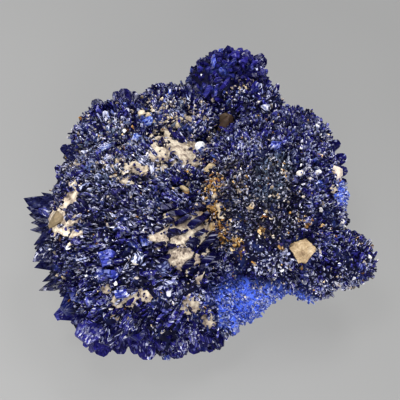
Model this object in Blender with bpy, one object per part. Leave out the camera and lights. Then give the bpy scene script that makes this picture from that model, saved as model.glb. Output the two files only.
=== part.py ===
"""Azurite specimen: rosettes of bladed azurite grown together, with clay and host rock caught in them.

Run with: blender --background --python part.py
Lengths below are in millimetres and are turned into metres by MM. +Z is up. The specimen rests on the
flat break under it, and the origin is on that flat, under the middle of the specimen.
"""

import math
import random

import bmesh
import bpy
from mathutils import Matrix, Vector, noise

MM = 0.001
SEED = 9
FLOOR_GAP = 0.3  # no crystal tip comes nearer to the floor than this
SOCKET_GAP = 0.3  # clear space between a lodged piece and the azurite round it
GOLDEN_ANGLE = math.pi * (3.0 - math.sqrt(5.0))

# The rounded masses of the cluster, as (centre, radii), and the steps that refine their mesh.
LOBES = {
    "left_rosette": ((-7.3, -3.4, 8.3), (12.6, 15.2, 9.1), 4),
    "right_dome": ((8.8, -1.3, 10.6), (10.0, 12.4, 9.3), 4),
    "right_shoulder": ((12.0, 7.2, 11.2), (5.2, 5.2, 5.0), 3),
    "middle": ((1.3, -0.7, 6.6), (9.0, 12.0, 8.3), 3),
    "front_left": ((-10.5, -12.5, 7.2), (6.2, 6.6, 5.8), 3),
    "front": ((-4.3, -14.4, 6.2), (5.9, 5.8, 5.0), 3),
    "front_right": ((0.5, -14.2, 5.6), (4.6, 4.7, 4.4), 3),
    "front_skirt": ((5.5, -9.9, 6.6), (5.4, 5.2, 5.7), 3),
    "back_left": ((-10.3, 7.8, 10.6), (6.4, 6.5, 5.9), 3),
    "back": ((-3.8, 10.7, 11.4), (5.7, 5.6, 5.3), 3),
    "back_neck": ((6.3, 13.3, 11.2), (4.8, 4.7, 4.4), 3),
    "back_knob": ((3.7, 17.2, 12.2), (5.2, 4.5, 4.5), 3),
    "side_bridge": ((14.7, -10.3, 8.2), (3.4, 3.3, 3.2), 3),
    "side_nodule": ((18.8, -9.0, 9.4), (3.5, 3.5, 3.6), 3),
}
RIND_ROUGHNESS = 0.5
RIND_LUMP = 3.0  # how far apart the rind's lumps are

# What covers each lobe. ridge is the height of the crystal edges that the rind is made of. On it
# stand single blades of (length, width, thickness), spacing apart. Both fan out from the growth
# centre that much, instead of standing square to the rind.
GROWTH_CENTRE = (2.7, -1.8, 6.0)
COVER = {
    "left_rosette": dict(ridge=1.2, blade=(5.0, 2.8, 1.2), spacing=5.6, fan=1.6),
    "right_dome": dict(ridge=0.7, blade=(3.2, 2.0, 1.2), spacing=8.0, fan=0.1),
    "right_shoulder": dict(ridge=0.8, blade=(3.2, 2.2, 1.2), spacing=4.0, fan=0.1),
    "middle": dict(ridge=0.8, blade=(3.6, 2.2, 1.0), spacing=5.6, fan=0.5),
    "front_left": dict(ridge=1.2, blade=(5.6, 3.0, 1.3), spacing=3.8, fan=0.8),
    "front": dict(ridge=1.2, blade=(5.2, 2.8, 1.3), spacing=3.8, fan=0.8),
    "front_right": dict(ridge=1.0, blade=(4.6, 2.6, 1.2), spacing=3.6, fan=0.6),
    "front_skirt": dict(ridge=0.3, blade=(2.0, 1.8, 1.4), spacing=6.0, fan=0.0),
    "back_left": dict(ridge=0.8, blade=(3.6, 2.3, 1.2), spacing=4.4, fan=0.5),
    "back": dict(ridge=0.8, blade=(3.2, 2.2, 1.2), spacing=4.0, fan=0.5),
    "back_neck": dict(ridge=0.7, blade=(3.0, 1.9, 1.0), spacing=4.6, fan=0.2),
    "back_knob": dict(ridge=0.8, blade=(3.0, 2.0, 1.0), spacing=4.6, fan=0.0),
    "side_bridge": dict(ridge=0.5, blade=(2.2, 1.7, 1.1), spacing=3.8, fan=0.0),
    "side_nodule": dict(ridge=0.6, blade=(2.2, 1.6, 0.9), spacing=4.0, fan=0.0),
}
SHARE_BURIED = 0.66  # of a crystal's length
SIX_SIDED_WIDTH = 3.1  # a wider crystal has six long faces, and a narrower one has four
UNDERSIDE = -0.3  # no single blades where the rind faces down more than this

# The big single blades that stand out of the rim: the lobe, the place's heading from +X and pitch
# above the horizon, the blade's size, how far it stands out, and its turn, 0 being on its flat.
RIM_BLADES = [
    ("left_rosette", 176, 8, (8.0, 3.4, 1.2), 3.2, 10),
    ("left_rosette", 187, 0, (6.0, 1.8, 1.0), 1.8, 60),
    ("left_rosette", 198, -4, (7.6, 3.6, 1.3), 2.6, -12),
    ("left_rosette", 207, -8, (7.0, 2.0, 1.0), 2.2, 70),
    ("left_rosette", 215, -6, (7.0, 1.7, 1.0), 2.4, 40),
    ("front_left", 200, -8, (6.0, 2.0, 1.0), 1.6, 60),
    ("front_left", 228, -12, (7.0, 2.8, 1.2), 2.4, 20),
    ("front_left", 252, -14, (8.0, 3.0, 1.3), 2.6, -8),
    ("front_left", 276, -12, (7.0, 2.4, 1.2), 1.6, 30),
    ("front", 255, -16, (7.0, 3.0, 1.3), 1.8, -15),
    ("front", 275, -14, (7.0, 3.4, 1.4), 1.6, 5),
    ("front_right", 285, -12, (6.0, 2.8, 1.2), 1.4, 15),
    ("back_left", 124, 25, (5.0, 2.0, 1.0), 1.0, 60),
    ("back_left", 82, 30, (4.6, 2.6, 1.2), 1.2, 10),
    ("back_knob", 36, 25, (4.6, 1.9, 1.0), 1.4, 25),
]

# The pieces lodged in the azurite: the place, the radii along and across the surface and into it,
# the turn of the long side from +X, and how far the middle lies under the rind.
LODGED = {
    "host_rock_grain": dict(
        material="host_rock", place=("right_dome", 300, 26), radii=(1.55, 1.3, 1.3), turn=10, sunk=0.3
    ),
    "pale_rock_grain": dict(
        material="pale_rock", place=("right_dome", 13, 24), radii=(1.0, 1.3, 1.0), turn=0, sunk=0.3
    ),
    "clay_seam": dict(
        material="clay", place=("left_rosette", 307, 50), radii=(3.6, 2.4, 0.9), turn=30, sunk=0.45
    ),
    "clay_upper": dict(
        material="clay", place=("left_rosette", 48, 59), radii=(3.4, 2.7, 0.9), turn=-20, sunk=0.45
    ),
    "clay_left": dict(
        material="clay", place=("left_rosette", 194, 34), radii=(1.5, 2.2, 0.8), turn=0, sunk=0.4
    ),
}


def clear_scene():
    for obj in list(bpy.data.objects):
        bpy.data.objects.remove(obj, do_unlink=True)


def new_collection(name):
    collection = bpy.data.collections.new(name)
    bpy.context.scene.collection.children.link(collection)
    return collection


def remove_collection(collection):
    for obj in list(collection.objects):
        bpy.data.objects.remove(obj, do_unlink=True)
    bpy.data.collections.remove(collection)


def new_material(name, colour, roughness):
    material = bpy.data.materials.new(name)
    material.use_nodes = True
    shader = material.node_tree.nodes["Principled BSDF"]
    shader.inputs["Base Color"].default_value = (*colour, 1.0)
    shader.inputs["Roughness"].default_value = roughness
    shader.inputs["Metallic"].default_value = 0.0
    return material


def object_from(bm, name, collection):
    mesh = bpy.data.meshes.new(name)
    bmesh.ops.recalc_face_normals(bm, faces=bm.faces)
    bm.to_mesh(mesh)
    bm.free()
    obj = bpy.data.objects.new(name, mesh)
    collection.objects.link(obj)
    return obj


def heading_direction(heading, pitch):
    """Unit vector that many degrees round from +X and above the horizon."""
    turn, lift = math.radians(heading), math.radians(pitch)
    return Vector((math.cos(turn) * math.cos(lift), math.sin(turn) * math.cos(lift), math.sin(lift)))


def random_vector(rng, size):
    return Vector([rng.uniform(-size, size) for _ in range(3)])


def frame_on(point, normal, along, turn):
    """Placement at a point in millimetres: Z along the normal, X turned that far from along."""
    side = normal.cross(along).normalized()
    axes = Matrix((side.cross(normal), side, normal)).transposed().to_4x4()
    return Matrix.Translation(point) @ axes @ Matrix.Rotation(turn, 4, "Z")


def rind_point(lobe, direction):
    """The point of a lobe's lumpy rind that lies in a direction, in millimetres."""
    centre, radii, _ = LOBES[lobe]
    smooth = Vector(centre) + direction * Vector(radii)
    return smooth + direction * RIND_ROUGHNESS * noise.noise(smooth / RIND_LUMP)


def rind_normal(lobe, direction):
    radii = LOBES[lobe][1]
    return Vector([direction[k] / radii[k] for k in range(3)]).normalized()


def share_of_radius(lobe, point):
    """0 at a lobe's centre, 1 on its rind, more outside."""
    centre, radii, _ = LOBES[lobe]
    return Vector([(point[k] - centre[k]) / radii[k] for k in range(3)]).length


def is_buried(point, own_lobe):
    return any(share_of_radius(lobe, point) < 0.98 for lobe in LOBES if lobe != own_lobe)


def growth_axis(lobe, point, normal):
    """Which way the crystals at a point of a lobe grow."""
    away = (point - Vector(GROWTH_CENTRE)).normalized()
    return (normal + away * COVER[lobe]["fan"]).normalized()


def raise_ridges(bm, lobe, rng):
    """Lifts the two ends of every edge that has no lifted neighbour yet. Each becomes a crystal's edge."""
    normals = {vert: rind_normal(lobe, vert.co.normalized()) for vert in bm.verts}
    for vert in bm.verts:
        vert.co = rind_point(lobe, vert.co.normalized())

    def chance(edge):
        start, end = edge.verts[0].co, edge.verts[1].co
        radial = abs((end - start).normalized().dot((start - Vector(GROWTH_CENTRE)).normalized()))
        return rng.random() - COVER[lobe]["fan"] * radial

    low = set(bm.verts)
    for edge in sorted(bm.edges, key=chance):
        if low.issuperset(edge.verts):
            height = COVER[lobe]["ridge"] * rng.uniform(0.7, 1.3)
            for vert in edge.verts:
                low -= {vert, *(link.other_vert(vert) for link in vert.link_edges)}
                vert.co += growth_axis(lobe, vert.co, normals[vert]) * height * rng.uniform(0.85, 1.15)


def lobe_object(lobe, name, rng, collection):
    bm = bmesh.new()
    bmesh.ops.create_icosphere(bm, subdivisions=LOBES[lobe][2], radius=1.0)
    raise_ridges(bm, lobe, rng)
    bmesh.ops.scale(bm, vec=Vector((MM, MM, MM)), verts=bm.verts)
    return object_from(bm, name, collection)


def spread_directions(count, rng):
    """Directions spread evenly over a sphere on a spiral, each nudged a little."""
    for k in range(count):
        z = 1.0 - 2.0 * (k + 0.5) / count
        flat = math.sqrt(1.0 - z * z)
        around = k * GOLDEN_ANGLE
        even = Vector((flat * math.cos(around), flat * math.sin(around), z))
        yield (even + random_vector(rng, 0.6 / math.sqrt(count))).normalized()


def crystal_object(size, frame, rng, collection):
    """A tabular crystal that widens from its root to a shoulder and ends in a slanting chisel edge."""
    length, width, thickness = size
    sides = 6 if width > SIX_SIDED_WIDTH else 4
    shoulder = length * rng.uniform(0.74, 0.84)
    bm = bmesh.new()
    bmesh.ops.create_cone(bm, cap_ends=True, segments=sides, radius1=0.38, radius2=0.5, depth=shoulder)
    bmesh.ops.rotate(bm, matrix=Matrix.Rotation(math.pi / sides, 3, "Z"), verts=bm.verts)
    top = max(bm.faces, key=lambda face: face.calc_center_median().z)
    grown = bmesh.ops.extrude_face_region(bm, geom=[top])["geom"]
    ring = [item for item in grown if isinstance(item, bmesh.types.BMVert)]
    bmesh.ops.delete(bm, geom=[top], context="FACES")
    slant = rng.uniform(-0.08, 0.08) * length
    for side in (-1, 1):
        half = [vert for vert in ring if vert.is_valid and vert.co.x * side > 1e-4]
        edge_end = Vector((side * rng.uniform(0.1, 0.3), 0.0, length - shoulder / 2 + side * slant))
        bmesh.ops.pointmerge(bm, verts=half, merge_co=edge_end)
    bmesh.ops.translate(bm, vec=Vector((0.0, 0.0, shoulder / 2)), verts=bm.verts)
    bmesh.ops.scale(bm, vec=Vector((width, thickness, 1.0)), verts=bm.verts)
    bmesh.ops.transform(bm, matrix=Matrix.Scale(MM, 4) @ frame, verts=bm.verts)
    return object_from(bm, "crystal", collection)


def crystals_on(lobe, rng, collection):
    cover = COVER[lobe]
    rx, ry, rz = LOBES[lobe][1]
    area = 4.0 * math.pi * (((rx * ry) ** 1.6 + (rx * rz) ** 1.6 + (ry * rz) ** 1.6) / 3.0) ** (1 / 1.6)
    count = round(area / cover["spacing"] ** 2)
    for direction in spread_directions(count, rng):
        point = rind_point(lobe, direction)
        if direction.z < UNDERSIDE or is_buried(point, lobe) or in_a_socket(point):
            continue
        axis = growth_axis(lobe, point, rind_normal(lobe, direction)) + random_vector(rng, 0.2)
        axis.normalize()
        size = Vector(cover["blade"]) * rng.uniform(0.8, 1.2)
        root = point - axis * size[0] * SHARE_BURIED
        if min(point.z, root.z + axis.z * size[0]) < FLOOR_GAP + size[1] / 2:
            continue
        turn = rng.gauss(0.0, 0.5) if cover["fan"] > 0.3 else rng.uniform(0.0, math.pi)
        along = point - Vector(GROWTH_CENTRE)
        crystal_object(size, frame_on(root, axis, along, turn), rng, collection)


def rim_blades(rng, collection):
    for lobe, heading, pitch, size, stands_out, turn in RIM_BLADES:
        direction = heading_direction(heading, pitch)
        axis = (rind_normal(lobe, direction) + direction).normalized()
        root = rind_point(lobe, direction) - axis * (size[0] - stands_out)
        flat = axis.cross(Vector((0.0, 0.0, 1.0)))
        crystal_object(size, frame_on(root, axis, flat, math.radians(turn)), rng, collection)


def lodged_frame(piece):
    """Where a lodged piece is: its Z square to the rind and its X over the surface."""
    lobe, heading, pitch = piece["place"]
    direction = heading_direction(heading, pitch)
    normal = rind_normal(lobe, direction)
    centre = rind_point(lobe, direction) - normal * piece["sunk"]
    return frame_on(centre, normal, Vector((1.0, 0.0, 0.0)), math.radians(piece["turn"]))


def in_a_socket(point):
    for piece in LODGED.values():
        local = lodged_frame(piece).inverted() @ point
        if Vector([local[k] / (piece["radii"][k] + 0.8) for k in range(3)]).length < 1.0:
            return True
    return False


def lodged_object(name, piece, margin, collection):
    """An irregular lump, or with a margin the cutter of its socket."""
    bm = bmesh.new()
    bmesh.ops.create_icosphere(bm, subdivisions=2, radius=1.0)
    placement = lodged_frame(piece)
    own_lumps = Vector(piece["radii"]) * 7.0
    for vert in bm.verts:
        direction = vert.co.normalized()
        lump = 1.0 + 0.22 * noise.noise(direction * 1.4 + own_lumps)
        reach = [piece["radii"][k] * lump + margin for k in range(3)]
        vert.co = placement @ (direction * Vector(reach)) * MM
    return object_from(bm, name, collection)


def hide_cutter(cutter):
    cutter.hide_render = True
    cutter.display_type = "WIRE"
    return cutter


def floor_cutter(collection):
    """A block under the floor plane. It takes the rind's underside off and leaves the flat break."""
    bm = bmesh.new()
    bmesh.ops.create_cube(bm, size=1.0)
    bmesh.ops.scale(bm, vec=Vector((100.0, 100.0, 20.0)) * MM, verts=bm.verts)
    bmesh.ops.translate(bm, vec=Vector((0.0, 0.0, -10.0)) * MM, verts=bm.verts)
    return hide_cutter(object_from(bm, "floor_cutter", collection))


def add_boolean(obj, operation, operand):
    modifier = obj.modifiers.new(operation.lower(), "BOOLEAN")
    modifier.solver = "EXACT"
    modifier.operation = operation
    if isinstance(operand, bpy.types.Collection):
        modifier.operand_type = "COLLECTION"
        modifier.collection = operand
    else:
        modifier.object = operand


def apply_modifiers(obj):
    bpy.context.view_layer.update()
    graph = bpy.context.evaluated_depsgraph_get()
    mesh = bpy.data.meshes.new_from_object(obj.evaluated_get(graph))
    obj.modifiers.clear()
    obj.data = mesh


def keep_largest_body(obj):
    """Drops loose chips and closed bubbles, which the union and the cuts leave."""
    bm = bmesh.new()
    bm.from_mesh(obj.data)
    unseen, bodies = set(bm.faces), []
    while unseen:
        body, frontier = [], [unseen.pop()]
        while frontier:
            face = frontier.pop()
            body.append(face)
            others = {other for edge in face.edges for other in edge.link_faces} & unseen
            unseen -= others
            frontier.extend(others)
        bodies.append(body)
    for body in sorted(bodies, key=len)[:-1]:
        bmesh.ops.delete(bm, geom=body, context="FACES")
    bm.to_mesh(obj.data)
    bm.free()


def build_cluster(parts, cutters):
    """Every lobe and every crystal, fused into the one solid that they grew as."""
    rng = random.Random(SEED)
    growth = new_collection("growth")
    first, *others = LOBES
    cluster = lobe_object(first, "azurite_cluster", rng, parts)
    for lobe in others:
        lobe_object(lobe, lobe, rng, growth)
    for lobe in LOBES:
        crystals_on(lobe, rng, growth)
    rim_blades(rng, growth)
    add_boolean(cluster, "UNION", growth)
    apply_modifiers(cluster)
    add_boolean(cluster, "DIFFERENCE", floor_cutter(cutters))
    for name, piece in LODGED.items():
        socket = lodged_object(f"{name}_socket", piece, SOCKET_GAP, cutters)
        add_boolean(cluster, "DIFFERENCE", hide_cutter(socket))
    apply_modifiers(cluster)
    keep_largest_body(cluster)
    remove_collection(growth)
    remove_collection(cutters)
    return cluster


def main():
    clear_scene()
    parts = new_collection("azurite_specimen")
    azurite = new_material("azurite", (0.020, 0.026, 0.165), 0.22)
    lodged_materials = {
        "clay": new_material("clay", (0.60, 0.50, 0.36), 0.85),
        "host_rock": new_material("host_rock", (0.50, 0.38, 0.22), 0.75),
        "pale_rock": new_material("pale_rock", (0.72, 0.66, 0.55), 0.70),
    }
    build_cluster(parts, new_collection("cutters")).data.materials.append(azurite)
    for name, piece in LODGED.items():
        lump = lodged_object(name, piece, 0.0, parts)
        lump.data.materials.append(lodged_materials[piece["material"]])
    corners = [vert.co / MM for obj in parts.objects for vert in obj.data.vertices]
    for k, axis in enumerate("XYZ"):
        print(axis, round(min(c[k] for c in corners), 2), "to", round(max(c[k] for c in corners), 2), "mm")


if __name__ == "__main__":
    main()
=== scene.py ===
import math

import bmesh
import bpy
import numpy as np
from mathutils import Matrix, Vector, bvhtree, kdtree, noise


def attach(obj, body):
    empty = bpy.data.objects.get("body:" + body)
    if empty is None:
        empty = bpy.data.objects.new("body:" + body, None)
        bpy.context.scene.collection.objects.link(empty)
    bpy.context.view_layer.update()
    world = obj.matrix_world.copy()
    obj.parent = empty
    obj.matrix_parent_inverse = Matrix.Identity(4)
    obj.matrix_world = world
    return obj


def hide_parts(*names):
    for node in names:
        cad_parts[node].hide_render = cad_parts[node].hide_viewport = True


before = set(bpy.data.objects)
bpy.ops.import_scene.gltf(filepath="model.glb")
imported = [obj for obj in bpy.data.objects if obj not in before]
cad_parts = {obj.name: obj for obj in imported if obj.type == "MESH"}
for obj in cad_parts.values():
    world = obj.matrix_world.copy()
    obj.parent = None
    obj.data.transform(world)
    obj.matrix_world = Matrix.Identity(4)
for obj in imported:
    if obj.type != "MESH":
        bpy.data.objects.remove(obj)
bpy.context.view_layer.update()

mm = 0.001
scene = bpy.context.scene
scene.view_settings.view_transform = "Standard"
scene.view_settings.gamma = 0.8

# The rounded masses that the crystals grow on: centre and radii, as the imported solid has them.
lobes = {
    "leftRosette": ((-7.3, -3.4, 8.3), (12.6, 15.2, 9.1)),
    "rightDome": ((8.8, -1.3, 10.6), (10.0, 12.4, 9.3)),
    "rightShoulder": ((12.0, 7.2, 11.2), (5.2, 5.2, 5.0)),
    "middle": ((1.3, -0.7, 6.6), (9.0, 12.0, 8.3)),
    "frontLeft": ((-10.5, -12.5, 7.2), (6.2, 6.6, 5.8)),
    "front": ((-4.3, -14.4, 6.2), (5.9, 5.8, 5.0)),
    "frontRight": ((0.5, -14.2, 5.6), (4.6, 4.7, 4.4)),
    "frontSkirt": ((5.5, -9.9, 6.6), (5.4, 5.2, 5.7)),
    "backLeft": ((-10.3, 7.8, 10.6), (6.4, 6.5, 5.9)),
    "back": ((-3.8, 10.7, 11.4), (5.7, 5.6, 5.3)),
    "backNeck": ((6.3, 13.3, 11.2), (4.8, 4.7, 4.4)),
    "backKnob": ((3.7, 17.2, 12.2), (5.2, 4.5, 4.5)),
    "sideBridge": ((14.7, -10.3, 8.2), (3.4, 3.3, 3.2)),
    "sideNodule": ((18.8, -9.0, 9.4), (3.5, 3.5, 3.6)),
}
lobeNames = list(lobes)
lobeCentres = np.array([lobes[name][0] for name in lobeNames])
lobeRadii = np.array([lobes[name][1] for name in lobeNames])
growthCentre = np.array((2.7, -1.8, 6.0))


lobeLump = {"height": 0.5, "grain": 3.0}


def rindPoint(name, direction):
    # the lumpy skin of a lobe in a direction from its centre
    centre, radii = lobes[name]
    smooth = Vector(centre) + direction * Vector(radii)
    return smooth + direction * lobeLump["height"] * noise.noise(smooth / lobeLump["grain"])


def rindNormal(name, direction):
    radii = lobes[name][1]
    return Vector([direction[k] / radii[k] for k in range(3)]).normalized()


def heading(turn, lift):
    turn, lift = math.radians(turn), math.radians(lift)
    return Vector((math.cos(turn) * math.cos(lift), math.sin(turn) * math.cos(lift), math.sin(lift)))


def noiseAt(points, grain, shift=0.0):
    # smooth noise of about -1 to 1, one value a point
    return np.array([noise.noise(Vector(p) / grain + Vector((shift,) * 3)) for p in points])


def distance(points, place):
    return np.linalg.norm(points - np.array(place), axis=1)


def nearness(points, spots):
    # 1 in the middle of a spot and 0 from its edge outwards
    best = np.zeros(len(points))
    for place, reach in spots:
        best = np.maximum(best, 1.0 - distance(points, place) / reach)
    return best


def outside(points, place, reach):
    return distance(points, place) > reach


def smoothStep(low, high, value):
    t = np.clip((value - low) / (high - low), 0.0, 1.0)
    return t * t * (3.0 - 2.0 * t)


def unit(rows):
    return rows / np.linalg.norm(rows, axis=1)[:, None]


def column(rows, number):
    return np.array([row[number] for row in rows])


def varied(plan, share):
    # a value that holds everywhere, plus what each ground adds to it
    value = plan["all"]
    for kind, extra in plan.items():
        if kind != "all":
            value = value + extra * share[kind]
    return value


def scaledBy(plan, share, value):
    # a value made larger or smaller by each ground
    for kind, extra in plan.items():
        value = value * (1.0 + extra * share[kind])
    return value


# Where each kind of ground lies on the specimen: middle of a spot and how far it reaches.
ground = {
    "clay": [
        ((-2.6, 3.4, 15.8), 3.4), ((-5.0, 2.6, 16.6), 2.2), ((-0.9, 5.0, 14.8), 2.0),
        ((-4.6, 6.0, 16.2), 2.2), ((-2.3, -9.0, 16.0), 2.5), ((-2.1, -11.9, 14.6), 2.4),
        ((-4.8, -10.0, 16.2), 1.9), ((0.4, -8.6, 15.2), 2.4), ((-3.0, -7.4, 16.4), 1.9),
        ((1.2, -10.4, 14.4), 1.5), ((-0.2, -6.8, 15.6), 1.8), ((-17.6, -5.4, 13.3), 2.3),
        ((-16.8, -6.4, 14.2), 2.1), ((-15.6, -8.6, 14.3), 1.3), ((-15.7, -10.0, 13.8), 1.0),
        ((-18.1, -3.2, 12.8), 1.6), ((-19.1, -1.9, 12.0), 0.9), ((-15.1, -6.4, 15.0), 1.1),
        ((-14.9, -2.2, 15.0), 1.2), ((-16.4, -3.2, 14.6), 1.6), ((-15.8, -1.0, 14.6), 1.1),
        ((-8.9, -2.2, 17.3), 1.0), ((-8.8, -2.9, 17.2), 0.8), ((-9.2, -0.3, 17.0), 1.1),
        ((-8.3, -0.3, 17.2), 1.2), ((-7.3, -0.7, 17.3), 1.0), ((0.6, -5.6, 16.4), 1.1),
        ((0.2, -4.4, 17.0), 0.9), ((2.2, -4.7, 17.0), 0.8), ((2.7, -6.0, 16.8), 0.9),
        ((2.9, -6.9, 16.5), 0.7), ((4.8, -9.6, 15.8), 0.7), ((-3.6, -5.9, 16.6), 1.0),
        ((2.0, -9.6, 15.2), 1.0), ((-11.5, -15.6, 12.8), 0.9), ((-8.8, -16.6, 12.6), 1.7),
        ((-10.2, -17.0, 12.0), 1.2), ((-7.0, -16.6, 12.8), 1.2), ((0.4, -13.9, 12.9), 1.2),
        ((-1.1, -16.2, 10.4), 1.6), ((1.0, -17.3, 8.6), 1.3), ((1.4, -15.2, 11.4), 0.9),
        ((16.9, -2.6, 15.9), 1.0), ((18.2, -5.2, 11.8), 0.9),
    ],
    "limonite": [
        ((1.6, 0.6, 16.9), 1.8), ((2.0, -2.8, 17.3), 2.4), ((1.6, -5.8, 16.1), 2.4),
        ((2.9, -8.8, 15.5), 2.2), ((5.1, -10.6, 15.7), 1.9), ((10.1, -11.0, 15.9), 1.0),
        ((13.3, -8.3, 17.0), 1.3), ((3.8, 9.9, 13.2), 1.4), ((-1.8, -3.3, 16.5), 0.9),
        ((7.6, -9.7, 17.3), 1.2),
    ],
    "dome": [
        ((5.6, -5.0, 18.2), 5.6), ((8.8, -7.4, 18.0), 5.4), ((9.5, -3.0, 19.8), 3.6),
        ((4.5, -8.4, 16.6), 3.6), ((4.0, -1.5, 18.3), 3.0), ((1.6, -2.8, 17.0), 2.6),
        ((1.8, -6.4, 16.0), 2.8), ((3.2, -9.6, 15.4), 2.6),
    ],
    "azure": [
        ((4.6, -14.8, 8.2), 4.6), ((7.8, -14.2, 7.6), 4.8), ((5.8, -13.0, 4.6), 5.6),
        ((19.3, 0.6, 11.0), 3.2), ((18.3, -2.0, 14.2), 2.4), ((10.5, -12.5, 6.0), 3.6),
        ((13.2, -13.8, 5.8), 3.4),
    ],
    "dusty": [
        ((-4.5, 9.1, 16.4), 4.4), ((-2.5, 3.1, 15.8), 5.4), ((1.5, 5.5, 14.5), 3.6),
        ((-9.0, -0.6, 17.2), 3.0), ((-0.5, 10.0, 15.0), 3.4), ((3.0, 8.0, 13.0), 3.0),
        ((5.6, 14.2, 15.0), 2.4),
    ],
    "rim": [
        ((-19.5, -1.0, 9.5), 3.8), ((-19.8, -4.5, 9.5), 4.0), ((-19.3, -8.0, 8.5), 4.0),
        ((-17.8, -11.5, 8.5), 3.8), ((-16.5, -14.5, 7.5), 3.6), ((-14.0, -17.5, 7.0), 3.6),
        ((-11.0, -19.0, 6.5), 3.6), ((-7.5, -18.8, 7.0), 3.4), ((-3.5, -19.3, 6.0), 3.2),
        ((0.5, -18.6, 5.6), 2.8),
    ],
    "granular": [
        ((-15.5, 3.8, 13.7), 4.6), ((-10.3, 5.3, 16.0), 5.4), ((-6.3, 0.5, 17.0), 4.2),
        ((-4.5, 9.0, 16.4), 4.4), ((-11.0, 0.5, 17.0), 4.4),
    ],
    "slate": [((9.6, -1.8, 19.8), 3.3), ((8.6, -4.6, 19.3), 2.8)],
    # painted shade: crystals darker, with less painted shine and fewer painted glints, in these spots
    "shaded": [
        ((-14.0, -9.4, 15.0), 4.2), ((-8.6, -12.9, 15.3), 2.2), ((9.9, -1.6, 19.8), 2.4),
        ((10.4, -4.8, 19.2), 2.2),
    ],
    # painted light: crystals lighter, with more painted glints and shine, in these spots
    "lit": [
        ((9.0, 12.2, 14.6), 2.4), ((10.7, -12.4, 14.3), 2.6), ((7.6, -12.6, 14.5), 2.4),
        ((-8.9, -17.2, 12.2), 1.8),
    ],
    "grey": [((-13.5, -4.5, 15.5), 7.5), ((-9.0, -4.0, 17.2), 6.0)],
    # painted glints: more painted glints on the crystals, and white flakes, in these spots
    "glints": [
        ((11.1, -0.2, 19.6), 2.2), ((12.9, 0.2, 18.6), 2.0), ((14.3, 4.5, 17.0), 3.0),
        ((17.2, 0.6, 15.5), 2.6), ((9.0, -12.6, 14.6), 3.0), ((13.8, -2.2, 18.4), 2.4),
        ((-12.0, -11.5, 15.0), 2.6), ((-9.0, -14.6, 13.6), 2.4), ((18.6, -11.6, 9.0), 2.8),
        ((15.0, 7.0, 15.0), 3.4), ((16.6, 3.0, 15.0), 3.0),
    ],
}

# Where the skin is drawn in a little: middle, reach and depth
tucks = [
    ((19.3, -3.5, 10.5), 4.5, 0.45), ((16.0, -12.7, 6.0), 2.5, 0.3), ((10.0, -13.6, 4.2), 4.2, 0.80),
    ((3.0, -19.3, 5.0), 4.0, 0.40), ((22.0, -10.6, 7.0), 3.0, 0.60), ((-15.5, -15.5, 6.0), 3.5, 0.30),
    ((-21.0, -10.4, 7.4), 3.0, 0.50),
]
# Dark hollows in the skin: middle, radius and depth
hollows = [((-2.7, -2.7, 16.8), 1.0, 1.1), ((3.8, 9.9, 13.2), 1.1, 1.2)]


# From 0 at a spot's edge to 1 in its middle: where the ground starts and where it is full
softEdges = {
    "rim": (0.15, 0.55), "dome": (0.05, 0.45), "granular": (0.1, 0.6), "azure": (0.1, 0.5),
    "glints": (0.0, 0.6), "grey": (0.0, 0.5), "shaded": (0.0, 0.6), "lit": (0.0, 0.6),
}
# The same for grounds with a ragged outline, then how ragged it is and the grain of that
raggedEdges = {
    "azure": ((0.0, 0.6), 0.30, 1.4), "limonite": ((0.1, 0.7), 0.5, 0.7),
    "slate": ((0.0, 0.6), 0.2, 1.0), "dusty": ((0.0, 0.6), 0.3, 1.2),
}
# The outline of the clay: how far in it starts, and the height and grain of its angular and its wavy part
clayEdge = {"inset": 0.20, "angular": (0.55, 0.85), "wavy": (0.18, 0.6), "edge": (0.02, 0.14)}


def softShare(kind, points):
    return smoothStep(*softEdges[kind], nearness(points, ground[kind]))


def raggedAt(kind, points, roughness, grain):
    return nearness(points, ground[kind]) + roughness * noiseAt(points, grain, 7.0)


def raggedShare(kind, points):
    edge, roughness, grain = raggedEdges[kind]
    return smoothStep(*edge, raggedAt(kind, points, roughness, grain))


def cellAt(points, grain):
    # one value from 0 to 1 for each point, the same all over an angular cell
    cells = [noise.cell(noise.voronoi(Vector(p) / grain)[1][0] * 31.7) for p in points]
    return np.array(cells) * 0.5 + 0.5


def clayAt(points):
    # angular patches and ribbons rather than round spots
    near = nearness(points, ground["clay"])
    inside = np.flatnonzero(near > 0.0)
    angular, cellGrain = clayEdge["angular"]
    wavy, waveGrain = clayEdge["wavy"]
    value = near - clayEdge["inset"]
    value[inside] += angular * (cellAt(points[inside], cellGrain) - 0.5) + wavy * noiseAt(
        points[inside], waveGrain, 7.0)
    return smoothStep(*clayEdge["edge"], value)


# Objects and meshes


def addPiece(name, mesh, nodes=()):
    made = bpy.data.objects.new(name, mesh)
    scene.collection.objects.link(made)
    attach(made, "root")
    if nodes:
        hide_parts(*nodes)
    return made


def meshFrom(bm, name):
    mesh = bpy.data.meshes.new(name)
    bmesh.ops.recalc_face_normals(bm, faces=bm.faces)
    bm.to_mesh(mesh)
    bm.free()
    return mesh


def vertexArray(mesh, what="co"):
    values = np.empty(len(mesh.vertices) * 3, np.float32)
    mesh.vertices.foreach_get(what, values)
    return values.reshape(-1, 3).astype(np.float64)


def placeVertices(mesh, points):
    mesh.vertices.foreach_set("co", (points * mm).astype(np.float32).ravel())


def addAttribute(mesh, name, values):
    layer = mesh.attributes.new(name, "FLOAT", "POINT")
    layer.data.foreach_set("value", np.ascontiguousarray(values, np.float32))


def remeshed(bm, name, voxel):
    # one closed skin around all that is in the bmesh
    shell = bpy.data.objects.new(name, meshFrom(bm, name))
    scene.collection.objects.link(shell)
    remesh = shell.modifiers.new("Remesh", "REMESH")
    remesh.mode = "VOXEL"
    remesh.voxel_size = voxel
    bpy.context.view_layer.update()
    graph = bpy.context.evaluated_depsgraph_get()
    mesh = bpy.data.meshes.new_from_object(shell.evaluated_get(graph))
    bpy.data.objects.remove(shell)
    return mesh


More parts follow.
